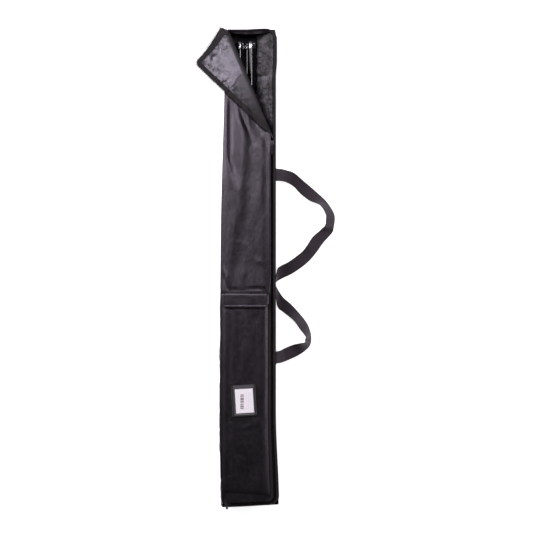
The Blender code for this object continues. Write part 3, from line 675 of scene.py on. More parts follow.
def make_lining():
    """Shiny coated lining with dark streaks near the zip; past the arc and on the roll it is
    matte, and painted shade darkens it to brown-black.
    """
    look = Look("coated_lining", Specular_IOR_Level=0.5)
    patches = look.spread(look.noise(0.02, 4.0), 0.35, 0.7)
    grey = look.blend(patches, (0.105, 0.098, 0.122), (0.172, 0.160, 0.196))
    # dark streaks in the lining's colour, only near the zip of the folded corner
    dark_streaks = look.spread(look.noise(0.011, 5.0), 0.49, 0.56)
    dark_streaks = look.math("MULTIPLY", dark_streaks, look.attribute("edge"))
    grey = look.blend(dark_streaks, grey, (0.022, 0.023, 0.030))
    # painted shade: the lining is darkened to brown where it turns away from the light, past the
    # arc and on the roll
    painted_shade_matte = look.attribute("painted_shade_matte")
    shade_brown = look.blend(look.noise(0.012, 4.0), (0.0035, 0.003, 0.0034), (0.014, 0.0122, 0.0138))
    look.link("Base Color", look.blend(painted_shade_matte, grey, shade_brown))
    look.bump(look.noise(0.006, 4.0), 0.0004)
    look.bump(look.bands(THREADS_APART, "X"), 0.00003, 0.5)
    look.link("Roughness", look.spread(painted_shade_matte, 0.0, 1.0, 0.36, 0.8))
    return look.material


def make_crushed_lining():
    """Dark lining of the open side, crushed into small folds; the lighter patches in its colour
    are painted highlights where the folds catch the light.
    """
    look = Look("lining_crushed", Specular_IOR_Level=0.3)
    folds = look.spread(look.noise(0.013, 3.0), 0.40, 0.62)
    # painted highlight: the lighter colour stands for light caught on the crushed folds
    look.link("Base Color", look.blend(folds, (0.0020, 0.0018, 0.0024), (0.030, 0.027, 0.034)))
    look.bump(look.noise(0.008, 3.0), 0.0030)
    look.bump(look.bands(THREADS_APART, "X"), 0.00003, 0.5)
    look.link("Roughness", look.spread(folds, 0.0, 1.0, 0.5, 0.36))
    return look.material


def make_webbing():
    """Herringbone webbing, from the distances along and across the strap."""
    look = Look("webbing", Sheen_Weight=0.2, Sheen_Roughness=0.5,
                Sheen_Tint=(0.62, 0.58, 0.64, 1.0), Specular_Tint=(1.0, 0.84, 1.0, 1.0),
                Specular_IOR_Level=0.4)
    across, along = look.attribute("across"), look.attribute("along")
    column = look.math("PINGPONG", across, 3.1)
    slant = look.math("ADD", along, look.math("MULTIPLY", column, 1.0))
    twill = look.math("SINE", look.math("MULTIPLY", slant, math.tau / 1.7), 0.0)
    ribs = look.math("SINE", look.math("MULTIPLY", across, math.tau / 1.55), 0.0)
    weave = look.spread(look.math("ADD", twill, ribs), -2.0, 2.0)
    fluff = look.noise(0.003, 4.0)
    shade = look.math("MULTIPLY", weave, look.spread(fluff, 0.3, 0.7, 0.6, 1.2))
    look.link("Base Color", look.blend(shade, (0.006, 0.0048, 0.0058), (0.030, 0.025, 0.030)))
    look.link("Roughness", look.spread(fluff, 0.3, 0.7, 0.5, 0.68))
    look.bump(weave, 0.0003)
    look.bump(fluff, 0.0001, 0.4)
    return look.material


def moulded(name, dark, light, roughness, grain=0.00003, **constants):
    """Plastic, rubber or paint with a little grain and handling marks."""
    look = Look(name, **constants)
    marks = look.noise(0.012, 5.0)
    look.link("Base Color", look.blend(marks, dark, light))
    look.link("Roughness", look.spread(marks, 0.3, 0.7, roughness * 0.8, roughness * 1.25))
    look.bump(look.noise(0.0007, 2.0), grain, 0.5)
    return look.material


def metal(name, dark, light, roughness, **constants):
    """Plated metal with faint turning marks and wear."""
    look = Look(name, Metallic=1.0, **constants)
    wear = look.noise(0.004, 5.0)
    look.link("Base Color", look.blend(look.spread(wear, 0.4, 0.65), dark, light))
    look.link("Roughness", look.spread(wear, 0.3, 0.7, roughness * 0.7, roughness * 1.6))
    look.bump(look.noise(0.0012, 3.0, (6.0, 1.0, 6.0)), 0.00001, 0.6)
    return look.material


def make_card():
    """A white card with plain grey bars on it and no lettering."""
    look = Look("paper_card", Roughness=0.6)
    parts = look.add("ShaderNodeSeparateXYZ", {0: look.where})
    x, y = parts.outputs[0], parts.outputs[1]
    paper = look.blend(look.noise(0.006, 4.0), (0.93, 0.91, 0.94), (0.98, 0.97, 0.98))
    bars = look.math("GREATER_THAN", look.noise(0.0012, 0.0, (60.0, 1.0, 60.0)), 0.47)

    def strip(value, low, high):
        inside = look.math("GREATER_THAN", value, low)
        return look.math("MULTIPLY", inside, look.math("LESS_THAN", value, high))

    block = look.math("MULTIPLY", strip(x, -0.0155, -0.0085), strip(y, -0.288, -0.256))
    ink = look.math("MULTIPLY", bars, block)
    for low, high in ((-0.0035, -0.0030), (0.0010, 0.0014), (0.0040, 0.0044)):
        rule = look.math("MULTIPLY", strip(x, low, high), strip(y, -0.286, -0.252))
        ink = look.math("MAXIMUM", ink, look.math("MULTIPLY", rule, 0.35))
    look.link("Base Color", look.blend(ink, paper, (0.30, 0.24, 0.25)))
    look.bump(look.noise(0.0015, 3.0), 0.00003, 0.4)
    return look.material


def make_film():
    """Clear flexible film over the card."""
    look = Look("clear_film", Roughness=0.08, Alpha=0.05, IOR=1.4,
                Base_Color=(0.75, 0.75, 0.78, 1.0))
    look.bump(look.noise(0.012, 3.0), 0.0003, 0.8)
    return look.material


NYLON = woven("nylon_outside", (0.0022, 0.0018, 0.0022), (0.0080, 0.0068, 0.0082), 0.37,
              Sheen_Weight=0.04, Sheen_Roughness=0.4, Sheen_Tint=(0.75, 0.72, 0.85, 1.0),
              Specular_IOR_Level=0.62, Specular_Tint=(0.95, 0.87, 1.0, 1.0))
SIDE_NYLON = woven("nylon_side", (0.0020, 0.0016, 0.0020), (0.0070, 0.0060, 0.0072), 0.50,
                   Specular_IOR_Level=0.30)
DARK_LINING = woven("lining_inside", (0.003, 0.0026, 0.0032), (0.009, 0.008, 0.0095), 0.6,
                    crinkle=0.0003, Specular_IOR_Level=0.25)
CRUSHED_LINING = make_crushed_lining()
LINING = make_lining()
TAPE = ribbed("zip_tape", (0.005, 0.0038, 0.0044), (0.030, 0.024, 0.027), 0.75, 0.0011,
              Specular_IOR_Level=0.3)
# painted highlight: the hem's light grey colour stands for the light along its edge
HEM_PAINTED_HIGHLIGHT = ribbed("elastic_hem_painted_highlight", (0.022, 0.020, 0.025), (0.090, 0.084, 0.098), 0.5, 0.0016, "Z")
WEBBING = make_webbing()
THREAD = moulded("thread", (0.004, 0.0035, 0.004), (0.012, 0.0105, 0.012), 0.7,
                 Specular_IOR_Level=0.2)
TEETH = moulded("zip_teeth", (0.002, 0.0018, 0.002), (0.005, 0.0045, 0.005), 0.55,
                Specular_IOR_Level=0.2)
PLASTIC = moulded("black_plastic", (0.006, 0.006, 0.0065), (0.013, 0.012, 0.014), 0.42)
RIM = moulded("window_rim", (0.004, 0.004, 0.005), (0.009, 0.009, 0.0105), 0.36)
RUBBER = moulded("rubber", (0.012, 0.012, 0.012), (0.026, 0.025, 0.026), 0.7, 0.00006)
PAINT = moulded("gloss_black_paint", (0.0022, 0.0022, 0.0026), (0.004, 0.004, 0.0045), 0.075,
                0.000002, Specular_IOR_Level=0.45)
STEEL = metal("plated_steel", (0.30, 0.30, 0.32), (0.46, 0.46, 0.48), 0.28)
DARK_STEEL = metal("blackened_steel", (0.035, 0.034, 0.036), (0.07, 0.068, 0.07), 0.4)
CHROME = metal("dark_chrome", (0.24, 0.24, 0.25), (0.34, 0.34, 0.35), 0.16)
CARD = make_card()
FILM = make_film()


# ---- the shell of the case -----------------------------------------------------------------

def front_cloth():
    """The front, from the folded corner's hinge line down to the zip at the bottom."""
    bottom = CHAIN_BOTTOM + 4.0
    ys = np.concatenate([np.arange(FOLD_AT.y - 7.0, -36.0, -2.0), np.arange(-36.0, bottom, -4.0),
                         [bottom]])
    y, share = grid(ys, np.linspace(0.0, 1.0, 61))
    left, right = left_x(y) + 1.2, front_right_x(y)
    x = left + (right - left) * share
    points = np.stack([x, y, front_z(x, y)], -1)
    cloth = add_sheet("front_cloth", points, CLOTH, [NYLON, DARK_LINING], "root",
                      replaces=["front_panel"], slot="nylon")


def fold_roll():
    """The cloth rolled over between the front and its folded corner; it bends at the fold."""
    side = [(-1.7, ROLL_FOOT), (-0.6, 51.1), (1.0, 51.4), (2.6, 52.3), (3.8, 53.8), (4.0, 55.4),
            (3.2, 56.9), (1.4, 58.0), (-1.2, 58.5)]
    side += [(-float(back), None) for back in range(4, 27, 2)]
    alongs = np.arange(1.0, 242.0, 2.0)
    points = np.zeros((len(alongs), len(side), 3))
    for i, along in enumerate(alongs):
        tall = float(roll_share(along)) * float(rise(along, -8.0, 12.0))
        limit = flap_reach(along)
        for j, (out, z) in enumerate(side):
            out = max(out * (tall if out > 0.0 else 1.0), -limit)
            x, y = from_fold(along, out)
            if z is None:
                z = float(corner_z(x, y))
            else:
                top = float(corner_z(*from_fold(along, -1.2)))
                z = ROLL_FOOT + (z - ROLL_FOOT) * (top - ROLL_FOOT) / ROLL_TALL
            points[i, j] = (x, y, z)
    x, y = points[..., 0], points[..., 1]
    roll = add_sheet("fold_roll", points, CLOTH, [LINING, NYLON], None, flip=True,
                     values={"painted_shade_matte": painted_shade_matte_share(x, y), "edge": edge_share(x, y)},
                     replaces=["folded_corner"], slot="lining")
    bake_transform(roll)


def flap_reach(along):
    """How far the folded corner's cloth reaches back from the fold line."""
    edge = 3.6
    start_y = CHAIN_TOP - edge
    start_x = CHAIN_X - edge
    base = FOLD_AT + FOLD_ALONG * along
    to_top = (start_y - base.y) / FOLD_OUT.y
    to_side = (start_x - base.x) / FOLD_OUT.x
    reach = min(to_top, to_side)
    x, y = base.x + FOLD_OUT.x * reach, base.y + FOLD_OUT.y * reach
    centre = Vector((CHAIN_X - CHAIN_R, CHAIN_TOP - CHAIN_R))
    if x > centre.x and y > centre.y:
        offset = Vector((base.x, base.y)) - centre
        direction = Vector((FOLD_OUT.x, FOLD_OUT.y))
        b = offset.dot(direction)
        c = offset.length_squared - (CHAIN_R - edge) ** 2
        if b * b - c > 0.0:
            reach = -b + math.sqrt(b * b - c)
    return max(reach, 0.4)


def painted_shade_matte_share(x, y):
    """Share of painted shade, where the lining is also matte: 0 on the shiny lining, 1 past the
    arc near the fold's lower end and on the roll.
    """
    along, out = to_fold(x, y)
    arc = 33.0 - np.hypot(x - 3.0, y - 366.0)
    past = np.maximum(rise(arc, -1.0, 1.0), rise(along, 150.0, 160.0))
    rolled = rise(out, -6.5, -3.0)
    # the painted shade deepens towards the fold's lower end
    lower = 0.62 + 0.38 * rise(along, 110.0, 190.0)
    return np.maximum(past * lower, rolled)


def corner_cloth():
    """The corner of the front that is folded back, with its lining up."""
    alongs = np.concatenate([np.arange(1.0, 30.0, 1.5), np.arange(30.0, 50.0, 0.8),
                             np.arange(50.0, 236.0, 1.6)])
    reach = np.array([[flap_reach(along)] for along in alongs])
    near = np.minimum(24.0, reach * 0.98)
    out = -(near + (reach - near) * np.linspace(0.0, 1.0, 60))
    x, y = from_fold(alongs[:, None], out)
    points = np.stack([x, y, corner_z(x, y)], -1)
    cloth = add_sheet("corner_cloth", points, CLOTH, [LINING, NYLON], "corner", flip=True,
                      values={"painted_shade_matte": painted_shade_matte_share(x, y), "edge": edge_share(x, y)},
                      slot="lining")
    return points


def gusset(name, xs, ys, zs, looks, replaces, flip=False):
    """A side of the case from grids of x, y and z on its outer face."""
    return add_sheet(name, np.stack([xs, ys, zs], -1), CLOTH, looks, "root", flip=flip,
                     replaces=replaces, slot="nylon")


def left_gusset():
    """The left side, which bellies out between its two pipings."""
    y, t = grid(np.linspace(Y_END - 1.0, -Y_END + 1.0, 330), np.linspace(0.0, 1.0, 17))
    z = wall_z(t)
    belly = np.sin(math.pi * t)
    slack = (1.6 * ripple(y, z, 42.0, 1.7) + 0.7 * ripple(y, z, 14.0, 6.3)
             - 1.2 * crumple(y, z, 26.0, 4.4))
    x = left_x(y) + 2.2 - belly * (1.2 + slack + 2.6 * rise(-y, 16.0, 32.0))
    side = gusset("left_gusset", x, y, z, [SIDE_NYLON, DARK_LINING],
                  ["left_side_panel_upper", "left_side_panel_lower"])


def right_wall_x(y, z):
    """Inner face of the leaning right side, as the frame has it."""
    foot = foot_x(y)
    head = CHAIN_X + 5.8
    return foot + (head - foot) * (z - WALL_FOOT) / (WALL_HEAD - WALL_FOOT)


# how far the right side leans in along the mouth, at each share of its height
SLUMP = smooth_line([(0.0, 0.0), (0.25, 5.0), (0.42, 14.0), (0.54, 33.0), (0.75, 28.0),
                     (0.90, 15.0), (1.0, 0.0)])
POLE_SIDE_X = corners("pole_tube_5")[1].x


def right_gusset_x(y, z):
    """Outer face of the right side cloth, which slumps over the poles along the open mouth."""
    t = np.clip((z - WALL_FOOT) / (WALL_HEAD - WALL_FOOT), 0.0, 1.0)
    belly = np.sin(math.pi * t)
    open_share = rise(y, 262.0, 330.0)
    slack = 1.0 * ripple(y, z, 38.0, 9.9) + 0.5 * ripple(y, z, 13.0, 2.6)
    crushed = open_share * (5.0 * ripple(y, z, 21.0, 5.1) + 4.4 * ripple(y, z, 8.0, 3.7)
                            + 2.5 * crumple(y, z, 13.0, 8.8))
    inward = SLUMP(t) * open_share * (1.0 - 0.35 * rise(y, 468.0, 487.0))
    slack = belly * (slack + crushed + 0.6 * (1.0 - open_share))
    # the cloth keeps clear of the outer pole, and further from it beside its collar
    reach = POLE_SIDE_X + 0.6 + 2.2 * (1.0 - rise(y, 392.0, 402.0)) + 1.1 * rise(y, 408.0, 420.0)
    over = right_wall_x(y, z) + 1.0 - inward + slack - reach
    return reach + 0.5 * (over + np.sqrt(over**2 + 0.2))


def right_gusset():
    """The right side, which leans out and is crushed along the open mouth."""
    y, t = grid(np.linspace(Y_END - 2.0, -Y_END + 1.0, 420), np.linspace(0.0, 1.0, 25))
    z = wall_z(t)
    x = right_gusset_x(y, z)
    side = gusset("right_gusset", x, y, z, [NYLON, CRUSHED_LINING],
                  ["right_side_panel_upper", "right_side_panel_lower"], flip=True)


SAG_AT, SAG_WIDTH = 0.93, 0.045      # of an end's height, just under its zip tape


def end_gusset(name, sign, node, inside, sag):
    """The side across one end, sagging inwards under its zip tape."""
    t, s = grid(np.linspace(0.0, 1.0, 45), np.linspace(0.0, 1.0, 50))
    z = wall_z(t)
    end_y = sign * (Y_END - 0.6)
    left = float(left_x(end_y)) + 1.6
    right = right_wall_x(np.full(z.shape, end_y), z) + 1.0
    x = left + (right - left) * s
    belly = np.sin(math.pi * t) ** 0.8
    held = np.sin(math.pi * np.clip(s, 0.02, 0.98)) ** 0.5
    slack = 0.6 * ripple(x, z, 15.0, 3.3 * sign + 11.0)
    folded = sag * np.exp(-((t - SAG_AT) / SAG_WIDTH) ** 2)
    y = end_y - sign * held * (belly * (0.8 + slack) + folded)
    side = gusset(name, x, y, z, [NYLON, inside], [node], flip=sign < 0)


def back_cloth():
    """The back, which the case lies on."""
    y, s = grid(np.linspace(Y_END - 1.0, -Y_END + 1.0, 300), np.linspace(0.0, 1.0, 36))
    x = left_x(y) + 1.6 + (foot_x(y) + 1.4 - left_x(y) - 1.6) * s
    z = 0.05 + 0.5 * np.abs(ripple(x, y, 24.0, 15.0, 2.0)) * np.sin(math.pi * s)
    points = np.stack([x, y, z], -1)
    back = add_sheet("back_cloth", points, CLOTH, [NYLON, DARK_LINING], "root", flip=True,
                     replaces=["back_panel"], slot="nylon")


def pipings():
    """Corded seams: along the left of the front and both sides of the back."""
    ys = np.linspace(Y_END, -Y_END, 160)
    for name, xs, z in (
            ("front_left_piping", left_x(ys) + PIPING_R, FRONT_LOW + 0.5),
            ("back_left_piping", left_x(ys) + PIPING_R, PIPING_R + 0.3),
            ("back_right_piping", foot_x(ys) + 1.5 + PIPING_R, PIPING_R + 0.3)):
        keep = np.abs(ys) < (CHAIN_TOP - 3.0 if name.startswith("front") else Y_END + 1.0)
        path = np.stack([xs, ys, np.full(len(ys), z)], -1)[keep]
        add_tube(name + "_cord", path, PIPING_R, NYLON, "root", replaces=[name], slot="nylon")


# ---- the zip -------------------------------------------------------------------------------

def zip_strip(name, inner, outer, runs, level, body, replaces, turned=False, thickness=0.7):
    """A strip of zip tape between two offsets from the centre line."""
    share = np.linspace(0.0, 1.0, 6)
    points = []
    for run in runs:
        x, y, nx, ny = on_chain(run)
        low, high = inner, outer(run) if callable(outer) else outer
        if turned:
            _, out = to_fold(x, y)
            low = max(low, (0.8 - out) / (nx * FOLD_OUT.x + ny * FOLD_OUT.y))
        offsets = low + (high - low) * share
        row = np.stack([x + nx * offsets, y + ny * offsets, np.zeros(6)], -1)
        if turned:
            row = np.array([turned_over(p) for p in row])
        else:
            row[:, 2] = level(row[:, 0], row[:, 1])
        points.append(row)
    return add_sheet(name, points, thickness, [TAPE], body, flip=not turned,
                     replaces=replaces, slot="zip_tape")


def turned_over(point, above=0.45):
    """A point of the closed corner, mirrored over the fold line onto the folded cloth."""
    along, out = to_fold(point[0], point[1])
    x, y = from_fold(along, -out)
    return np.array([x, y, float(corner_z(x, y)) + above])


def body_tape_width(run):
    """The tape on the case is narrower across the two ends."""
    ends = 1.0 - rise(run, TOP_RUN - 4.0, TOP_RUN + ARC)
    ends = ends + rise(run, CHAIN_LENGTH - BOTTOM_RUN - ARC, CHAIN_LENGTH - BOTTOM_RUN + 4.0)
    return 8.0 - 3.0 * float(ends)


def flap_runs(step, clear=1.6):
    """Lengths along the zip of the part that lies on the folded corner, clear of the fold."""
    runs = []
    for run in np.arange(0.0, MOUTH_RUN + 20.0, step):
        x, y = on_chain(run)[:2]
        if to_fold(x, y)[1] > clear:
            runs.append(run)
    return runs


def tapes():
    """Zip tape on the case, on the closed part of the front, and on the folded corner."""
    runs = np.arange(0.0, CHAIN_LENGTH + 0.1, 2.0)

    def level(x, y):
        return TAPE_HIGH + 0.25 * ripple(x, y, 18.0, 4.0)

    zip_strip("zip_tape_body_cloth", COIL + 0.3, body_tape_width, runs, level, "root",
              ["zip_tape_body"])
    closed = [r for r in runs if r > MOUTH_RUN + 8.0]
    zip_strip("zip_tape_front_cloth", -TAPE_INNER, -COIL - 0.3, closed, level, "root",
              ["zip_tape_front"])
    zip_strip("zip_tape_flap_cloth", -FLAP_TAPE, -COIL - 0.2, flap_runs(2.0), level,
              "corner", ["zip_tape_flap"], turned=True, thickness=0.6)


TOOTH_PITCH = 1.5
TOOTH_SIDES = 8


def tooth(run, side, reach, turned=False):
    """One turn of the coil: a rounded bar across the tape, with a swollen head."""
    x, y, nx, ny = on_chain(run)
    tx, ty = -ny, nx
    verts = []
    for offset, width, height in ((reach, 0.30, 0.45), (reach + 0.5, 0.58, 0.95),
                                  (reach + 1.4, 0.42, 0.80), (COIL, 0.40, 0.55)):
        for k in range(TOOTH_SIDES):
            turn = math.tau * k / TOOTH_SIDES
            a = math.cos(turn) * width
            z = math.sin(turn) * height
            px = x + nx * offset * side + tx * a
            py = y + ny * offset * side + ty * a
            if turned:
                point = turned_over((px, py), above=0.0)
                point[2] -= z - 0.35
                verts.append(point)
            else:
                verts.append((px, py, (TAPE_LOW + TAPE_HIGH) / 2.0 + z))
    faces = lathe_faces(4, TOOTH_SIDES)
    if (side < 0) == turned:
        faces = [tuple(reversed(face)) for face in faces]
    return verts, faces


def teeth():
    """Coil teeth: meshed below the slider, parted above it."""
    meshed, parted = -0.45, 0.2      # how far a tooth's head stands from the centre line
    closed = []
    for run in np.arange(MOUTH_RUN + SLIDER_RUN - 4.0, CHAIN_LENGTH - 0.4, TOOTH_PITCH):
        closed.append(tooth(run, 1.0, meshed))
        closed.append(tooth(run + TOOTH_PITCH / 2.0, -1.0, meshed))
    body = [tooth(run, 1.0, parted) for run in np.arange(0.5, MOUTH_RUN, TOOTH_PITCH)]
    flap = [tooth(run, -1.0, parted, turned=True) for run in flap_runs(TOOTH_PITCH, 6.0)]
    for name, coil, rides, node in (("closed", closed, "root", "zip_chain_closed"),
                                    ("body", body, "root", "zip_coil_body"),
                                    ("flap", flap, "corner", "zip_coil_flap")):
        verts, faces = merged(coil)
        add_piece("zip_teeth_" + name, verts, faces, [TEETH], rides, replaces=[node],
                  slot="coil")


# ---- pocket --------------------------------------------------------------------------------

def pocket_cloth():
    """The patch pocket, open under its flap."""
    y, s = grid(np.arange(POCKET_HIGH.y, POCKET_LOW.y - 1.0, -2.0), np.linspace(0.0, 1.0, 60))
    x = POCKET_LOW.x - 1.3 + (POCKET_HIGH.x - POCKET_LOW.x + 2.6) * s
    points = np.stack([x, y, pocket_z(x, y)], -1)
    cloth = add_sheet("pocket_cloth", points, CLOTH, [NYLON, DARK_LINING], "root",
                      replaces=["pocket_panel"], slot="nylon")


def flap_dip(x):
    """How far the flap's sewn edge drops towards its two ends."""
    return 7.0 * rise(-x, 36.0, 54.0) + 3.0 * rise(x, 24.0, 42.0)


FLAP_CORNER = 13.0


def flap_inset(y):
    """How far the flap's sides are in at y, for its rounded lower corners."""
    left = FLAP_CORNER - np.clip(y - FLAP_LOW.y, 0.0, FLAP_CORNER)
    return FLAP_CORNER - np.sqrt(np.clip(FLAP_CORNER**2 - left**2, 0.0, None))


def pocket_flap_z(x, y):
    """Top of the pocket flap, which lies on the pocket and curls down at its edge."""
    inward = np.minimum(np.minimum(x - FLAP_LOW.x, FLAP_HIGH.x - x), y - FLAP_LOW.y)
    drop = -1.4 * np.exp(-np.clip(inward, 0.0, None) / 3.0)
    drop = drop + 0.9 * np.exp(-((inward - 3.5) / 1.6) ** 2)
    wave = 0.5 * ripple(x, y, 20.0, 31.0) + 0.7 * np.sin((x + 8.0) / 17.0)
    held = rise(FLAP_HIGH.y - y, 0.0, 10.0)
    seam = -4.6 * (1.0 - rise(FLAP_HIGH.y - y, -1.0, 9.0))
    return FLAP_HIGH.z - 0.4 + seam + (drop + wave * 0.6) * held


def pocket_flap():
    """The flap over the pocket's mouth."""
    curved = FLAP_CORNER * (1.0 - np.sin(np.linspace(0.1, math.pi / 2.0, 12)))
    ys = np.concatenate([np.linspace(FLAP_HIGH.y, FLAP_LOW.y + FLAP_CORNER, 16),
                         FLAP_LOW.y + curved])
    y, s = grid(ys, np.linspace(0.0, 1.0, 50))
    inset = flap_inset(y)
    x = FLAP_LOW.x + inset + (FLAP_HIGH.x - FLAP_LOW.x - 2.0 * inset) * s
    y = y - flap_dip(x) * rise(y, FLAP_LOW.y, FLAP_HIGH.y)
    points = np.stack([x, y, pocket_flap_z(x, y)], -1)
    cloth = add_sheet("pocket_flap_cloth", points, 1.2, [NYLON, DARK_LINING], "pocket_flap",
                      replaces=["pocket_flap"], slot="nylon")
    edge = [flap_seam(share) for share in np.linspace(0.0, 1.0, 80)]
    return [(x, y, float(pocket_flap_z(x, y))) for x, y in edge]


def flap_seam(share):
    """x and y along the stitched seam inside the flap's edge, from its upper left."""
    low, high = FLAP_LOW.y + 2.2, FLAP_HIGH.y - 2.0
    left, right, r = FLAP_LOW.x + 2.2, FLAP_HIGH.x - 2.2, 9.0
    side, arc, across = high - low - r, math.pi / 2.0 * r, right - left - 2.0 * r
    total = 2.0 * side + 2.0 * arc + across
    run = share * total
    if run < side:
        return left, high - run
    run -= side
    if run < arc:
        turn = run / r
        return left + r - r * math.cos(turn), low + r - r * math.sin(turn)
    run -= arc
    if run < across:
        return left + r + run, low
    run -= across
    if run < arc:
        turn = run / r
        return right - r + r * math.sin(turn), low + r - r * math.cos(turn)
    return right, low + r + (run - arc)


def finish_node(node, look):
    """One finish for a CAD node that shows as it is."""
    data = frame["nodes"][node].data
    data.materials.clear()
    data.materials.append(look)


def window():
    """The window's sewn rim, its film and the card behind it."""
    parts = []
    w, h = WINDOW_HALF
    level = corners("id_window_frame")[1].z
    rim, narrow = 4.4, 4.4 * 0.8
    outer = [(-w, h), (-w, -h), (w, -h), (w, h)]
    inner = [(-w + rim, h), (-w + rim, -h + narrow), (w - narrow, -h + narrow), (w - narrow, h)]
    points = []
    for share in np.linspace(0.0, 1.0, 5):
        z = level - 0.7 + 0.9 * math.sin(math.pi * (0.12 + 0.76 * share))
        row = [(a[0] + (b[0] - a[0]) * share, a[1] + (b[1] - a[1]) * share, z)
               for a, b in zip(outer, inner)]
        fine = []
        for a, b in zip(row, row[1:]):
            for t in np.linspace(0.0, 1.0, 24, endpoint=False):
                fine.append([a[i] + (b[i] - a[i]) * t for i in range(3)])
        fine.append(row[-1])
        points.append([(*on_window(p[0], p[1]), p[2]) for p in fine])
    add_sheet("window_rim", points, 0.6, [RIM], "root",
              replaces=["id_window_frame"], slot="black_plastic", sharp=40.0)
    finish_node("id_window_film", FILM)
    finish_node("label_card", CARD)
    middle = rim * 0.5
    seam = [(-w + middle, h), (-w + middle, -h + middle), (w - middle, -h + middle),
            (w - middle, h)]
    for a, b in zip(seam, seam[1:]):
        path = [(*on_window(a[0] + (b[0] - a[0]) * t, a[1] + (b[1] - a[1]) * t), level + 0.12)
                for t in np.linspace(0.0, 1.0, 30)]
        parts += stitches_along(path, lift=0.05)
    return parts


def inner_pocket():
    """The small pocket inside the right side, standing open at its elastic hem."""
    low, high = corners("inner_pocket_panel")
    hem_high = corners("inner_pocket_hem")[1].y
    bulge = smooth_line([(high.y + 9.0, 19.0), (320.0, 12.0), (262.0, 4.0), (low.y, 0.5)])
    for name, y_low, y_high, node, looks, extra, size in (
            ("inner_pocket_cloth", low.y, high.y, "inner_pocket_panel", [CRUSHED_LINING], 0.0,
             (0.050, 0.169)),
            ("inner_pocket_elastic", high.y + 0.3, hem_high, "inner_pocket_hem", [HEM_PAINTED_HIGHLIGHT], 2.2,
             (0.052, 0.012))):
        ys = np.linspace(y_high, y_low, max(6, int((y_high - y_low) / 2.5)))
        y, t = grid(ys, np.linspace(0.0, 1.0, 30))
        z = 5.0 + 42.0 * t
        stand = bulge(y) * np.sin(math.pi * t) ** 0.9
        soft = ripple(y, z, 12.0, 14.2) * 1.6 * np.sin(math.pi * t)
        x = right_wall_x(y, z) - 1.6 - stand - soft - extra
        lean = (right_gusset_x(y, z + 1.0) - right_gusset_x(y, z - 1.0)) / 2.0
        room = (CLOTH + 1.0) * np.sqrt(1.0 + np.minimum(lean**2, 9.0))
        x = np.minimum(x, right_gusset_x(y, z) - room)
        x = np.maximum(x, POLE_SIDE_X + 1.2)
        points = np.stack([x, y, z], -1)
        cloth = add_sheet(name, points, 0.8, looks, "root", replaces=[node],
                          slot="lining" if "cloth" in name else "zip_tape")


# ---- handle --------------------------------------------------------------------------------

# points of the strap's two edges, from its upper end to its lower end
STRAP = [
    ((56.2, 205.0, 30.2), (56.2, 180.0, 30.2)), ((68.0, 205.5, 20.0), (68.0, 180.5, 20.0)),
    ((80.0, 203.5, 9.5), (80.0, 178.5, 9.5)), ((95.5, 198.5, 1.8), (94.0, 170.5, 1.8)),
    ((117.0, 180.5, 1.2), (109.0, 154.5, 1.2)), ((139.0, 161.5, 1.2), (127.0, 141.0, 8.0)),
    ((161.5, 140.5, 1.2), (149.0, 131.5, 20.0)), ((176.0, 119.5, 1.2), (160.5, 113.5, 19.5)),
    ((180.0, 105.0, 1.2), (161.5, 101.0, 17.0)), ((178.0, 86.5, 1.2), (159.5, 88.5, 17.5)),
    ((174.0, 74.0, 1.2), (151.0, 80.5, 4.0)), ((155.5, 53.0, 1.2), (134.0, 66.0, 1.2)),
    ((140.5, 32.0, 1.2), (121.5, 47.0, 6.0)), ((122.0, 11.5, 1.2), (110.0, 33.5, 1.2)),
    ((95.0, -8.5, 1.2), (84.0, 14.0, 1.2)), ((74.0, -19.0, 1.2), (67.0, 5.0, 1.2)),
    ((62.0, -25.5, 1.2), (60.5, -5.0, 15.4)), ((56.8, -31.5, 1.2), (56.6, -35.0, 25.9)),
    ((60.0, -41.0, 1.2), (58.5, -61.5, 15.0)), ((72.0, -59.5, 1.2), (62.0, -82.0, 1.2)),
    ((88.5, -74.0, 1.2), (72.0, -90.0, 5.0)), ((107.5, -94.5, 1.2), (94.5, -107.0, 18.7)),
    ((122.0, -113.5, 1.2), (108.0, -125.5, 18.0)), ((129.5, -132.0, 1.2), (120.0, -140.5, 22.8)),
    ((131.0, -147.0, 1.2), (118.5, -147.0, 22.8)), ((128.5, -159.5, 1.2), (118.0, -153.0, 23.0)),
    ((120.0, -169.5, 1.2), (108.0, -155.5, 17.5)), ((103.5, -181.0, 1.2), (93.0, -158.8, 4.0)),
    ((81.5, -190.5, 9.0), (75.5, -165.5, 9.0)), ((69.0, -194.5, 19.0), (67.5, -169.5, 19.0)),
    ((56.2, -196.0, 30.2), (56.2, -171.0, 30.2)),
]


def through(points, steps):
    """A Catmull-Rom curve through points, with this many steps between neighbours."""
    points = np.asarray(points, float)
    padded = np.concatenate([[2 * points[0] - points[1]], points, [2 * points[-1] - points[-2]]])
    made = []
    for i in range(1, len(padded) - 2):
        p0, p1, p2, p3 = padded[i - 1:i + 3]
        for t in np.linspace(0.0, 1.0, steps, endpoint=False):
            made.append(0.5 * (2 * p1 + (p2 - p0) * t + (2 * p0 - 5 * p1 + 4 * p2 - p3) * t**2
                               + (3 * p1 - p0 - 3 * p2 + p3) * t**3))
    made.append(padded[-2])
    return np.array(made)


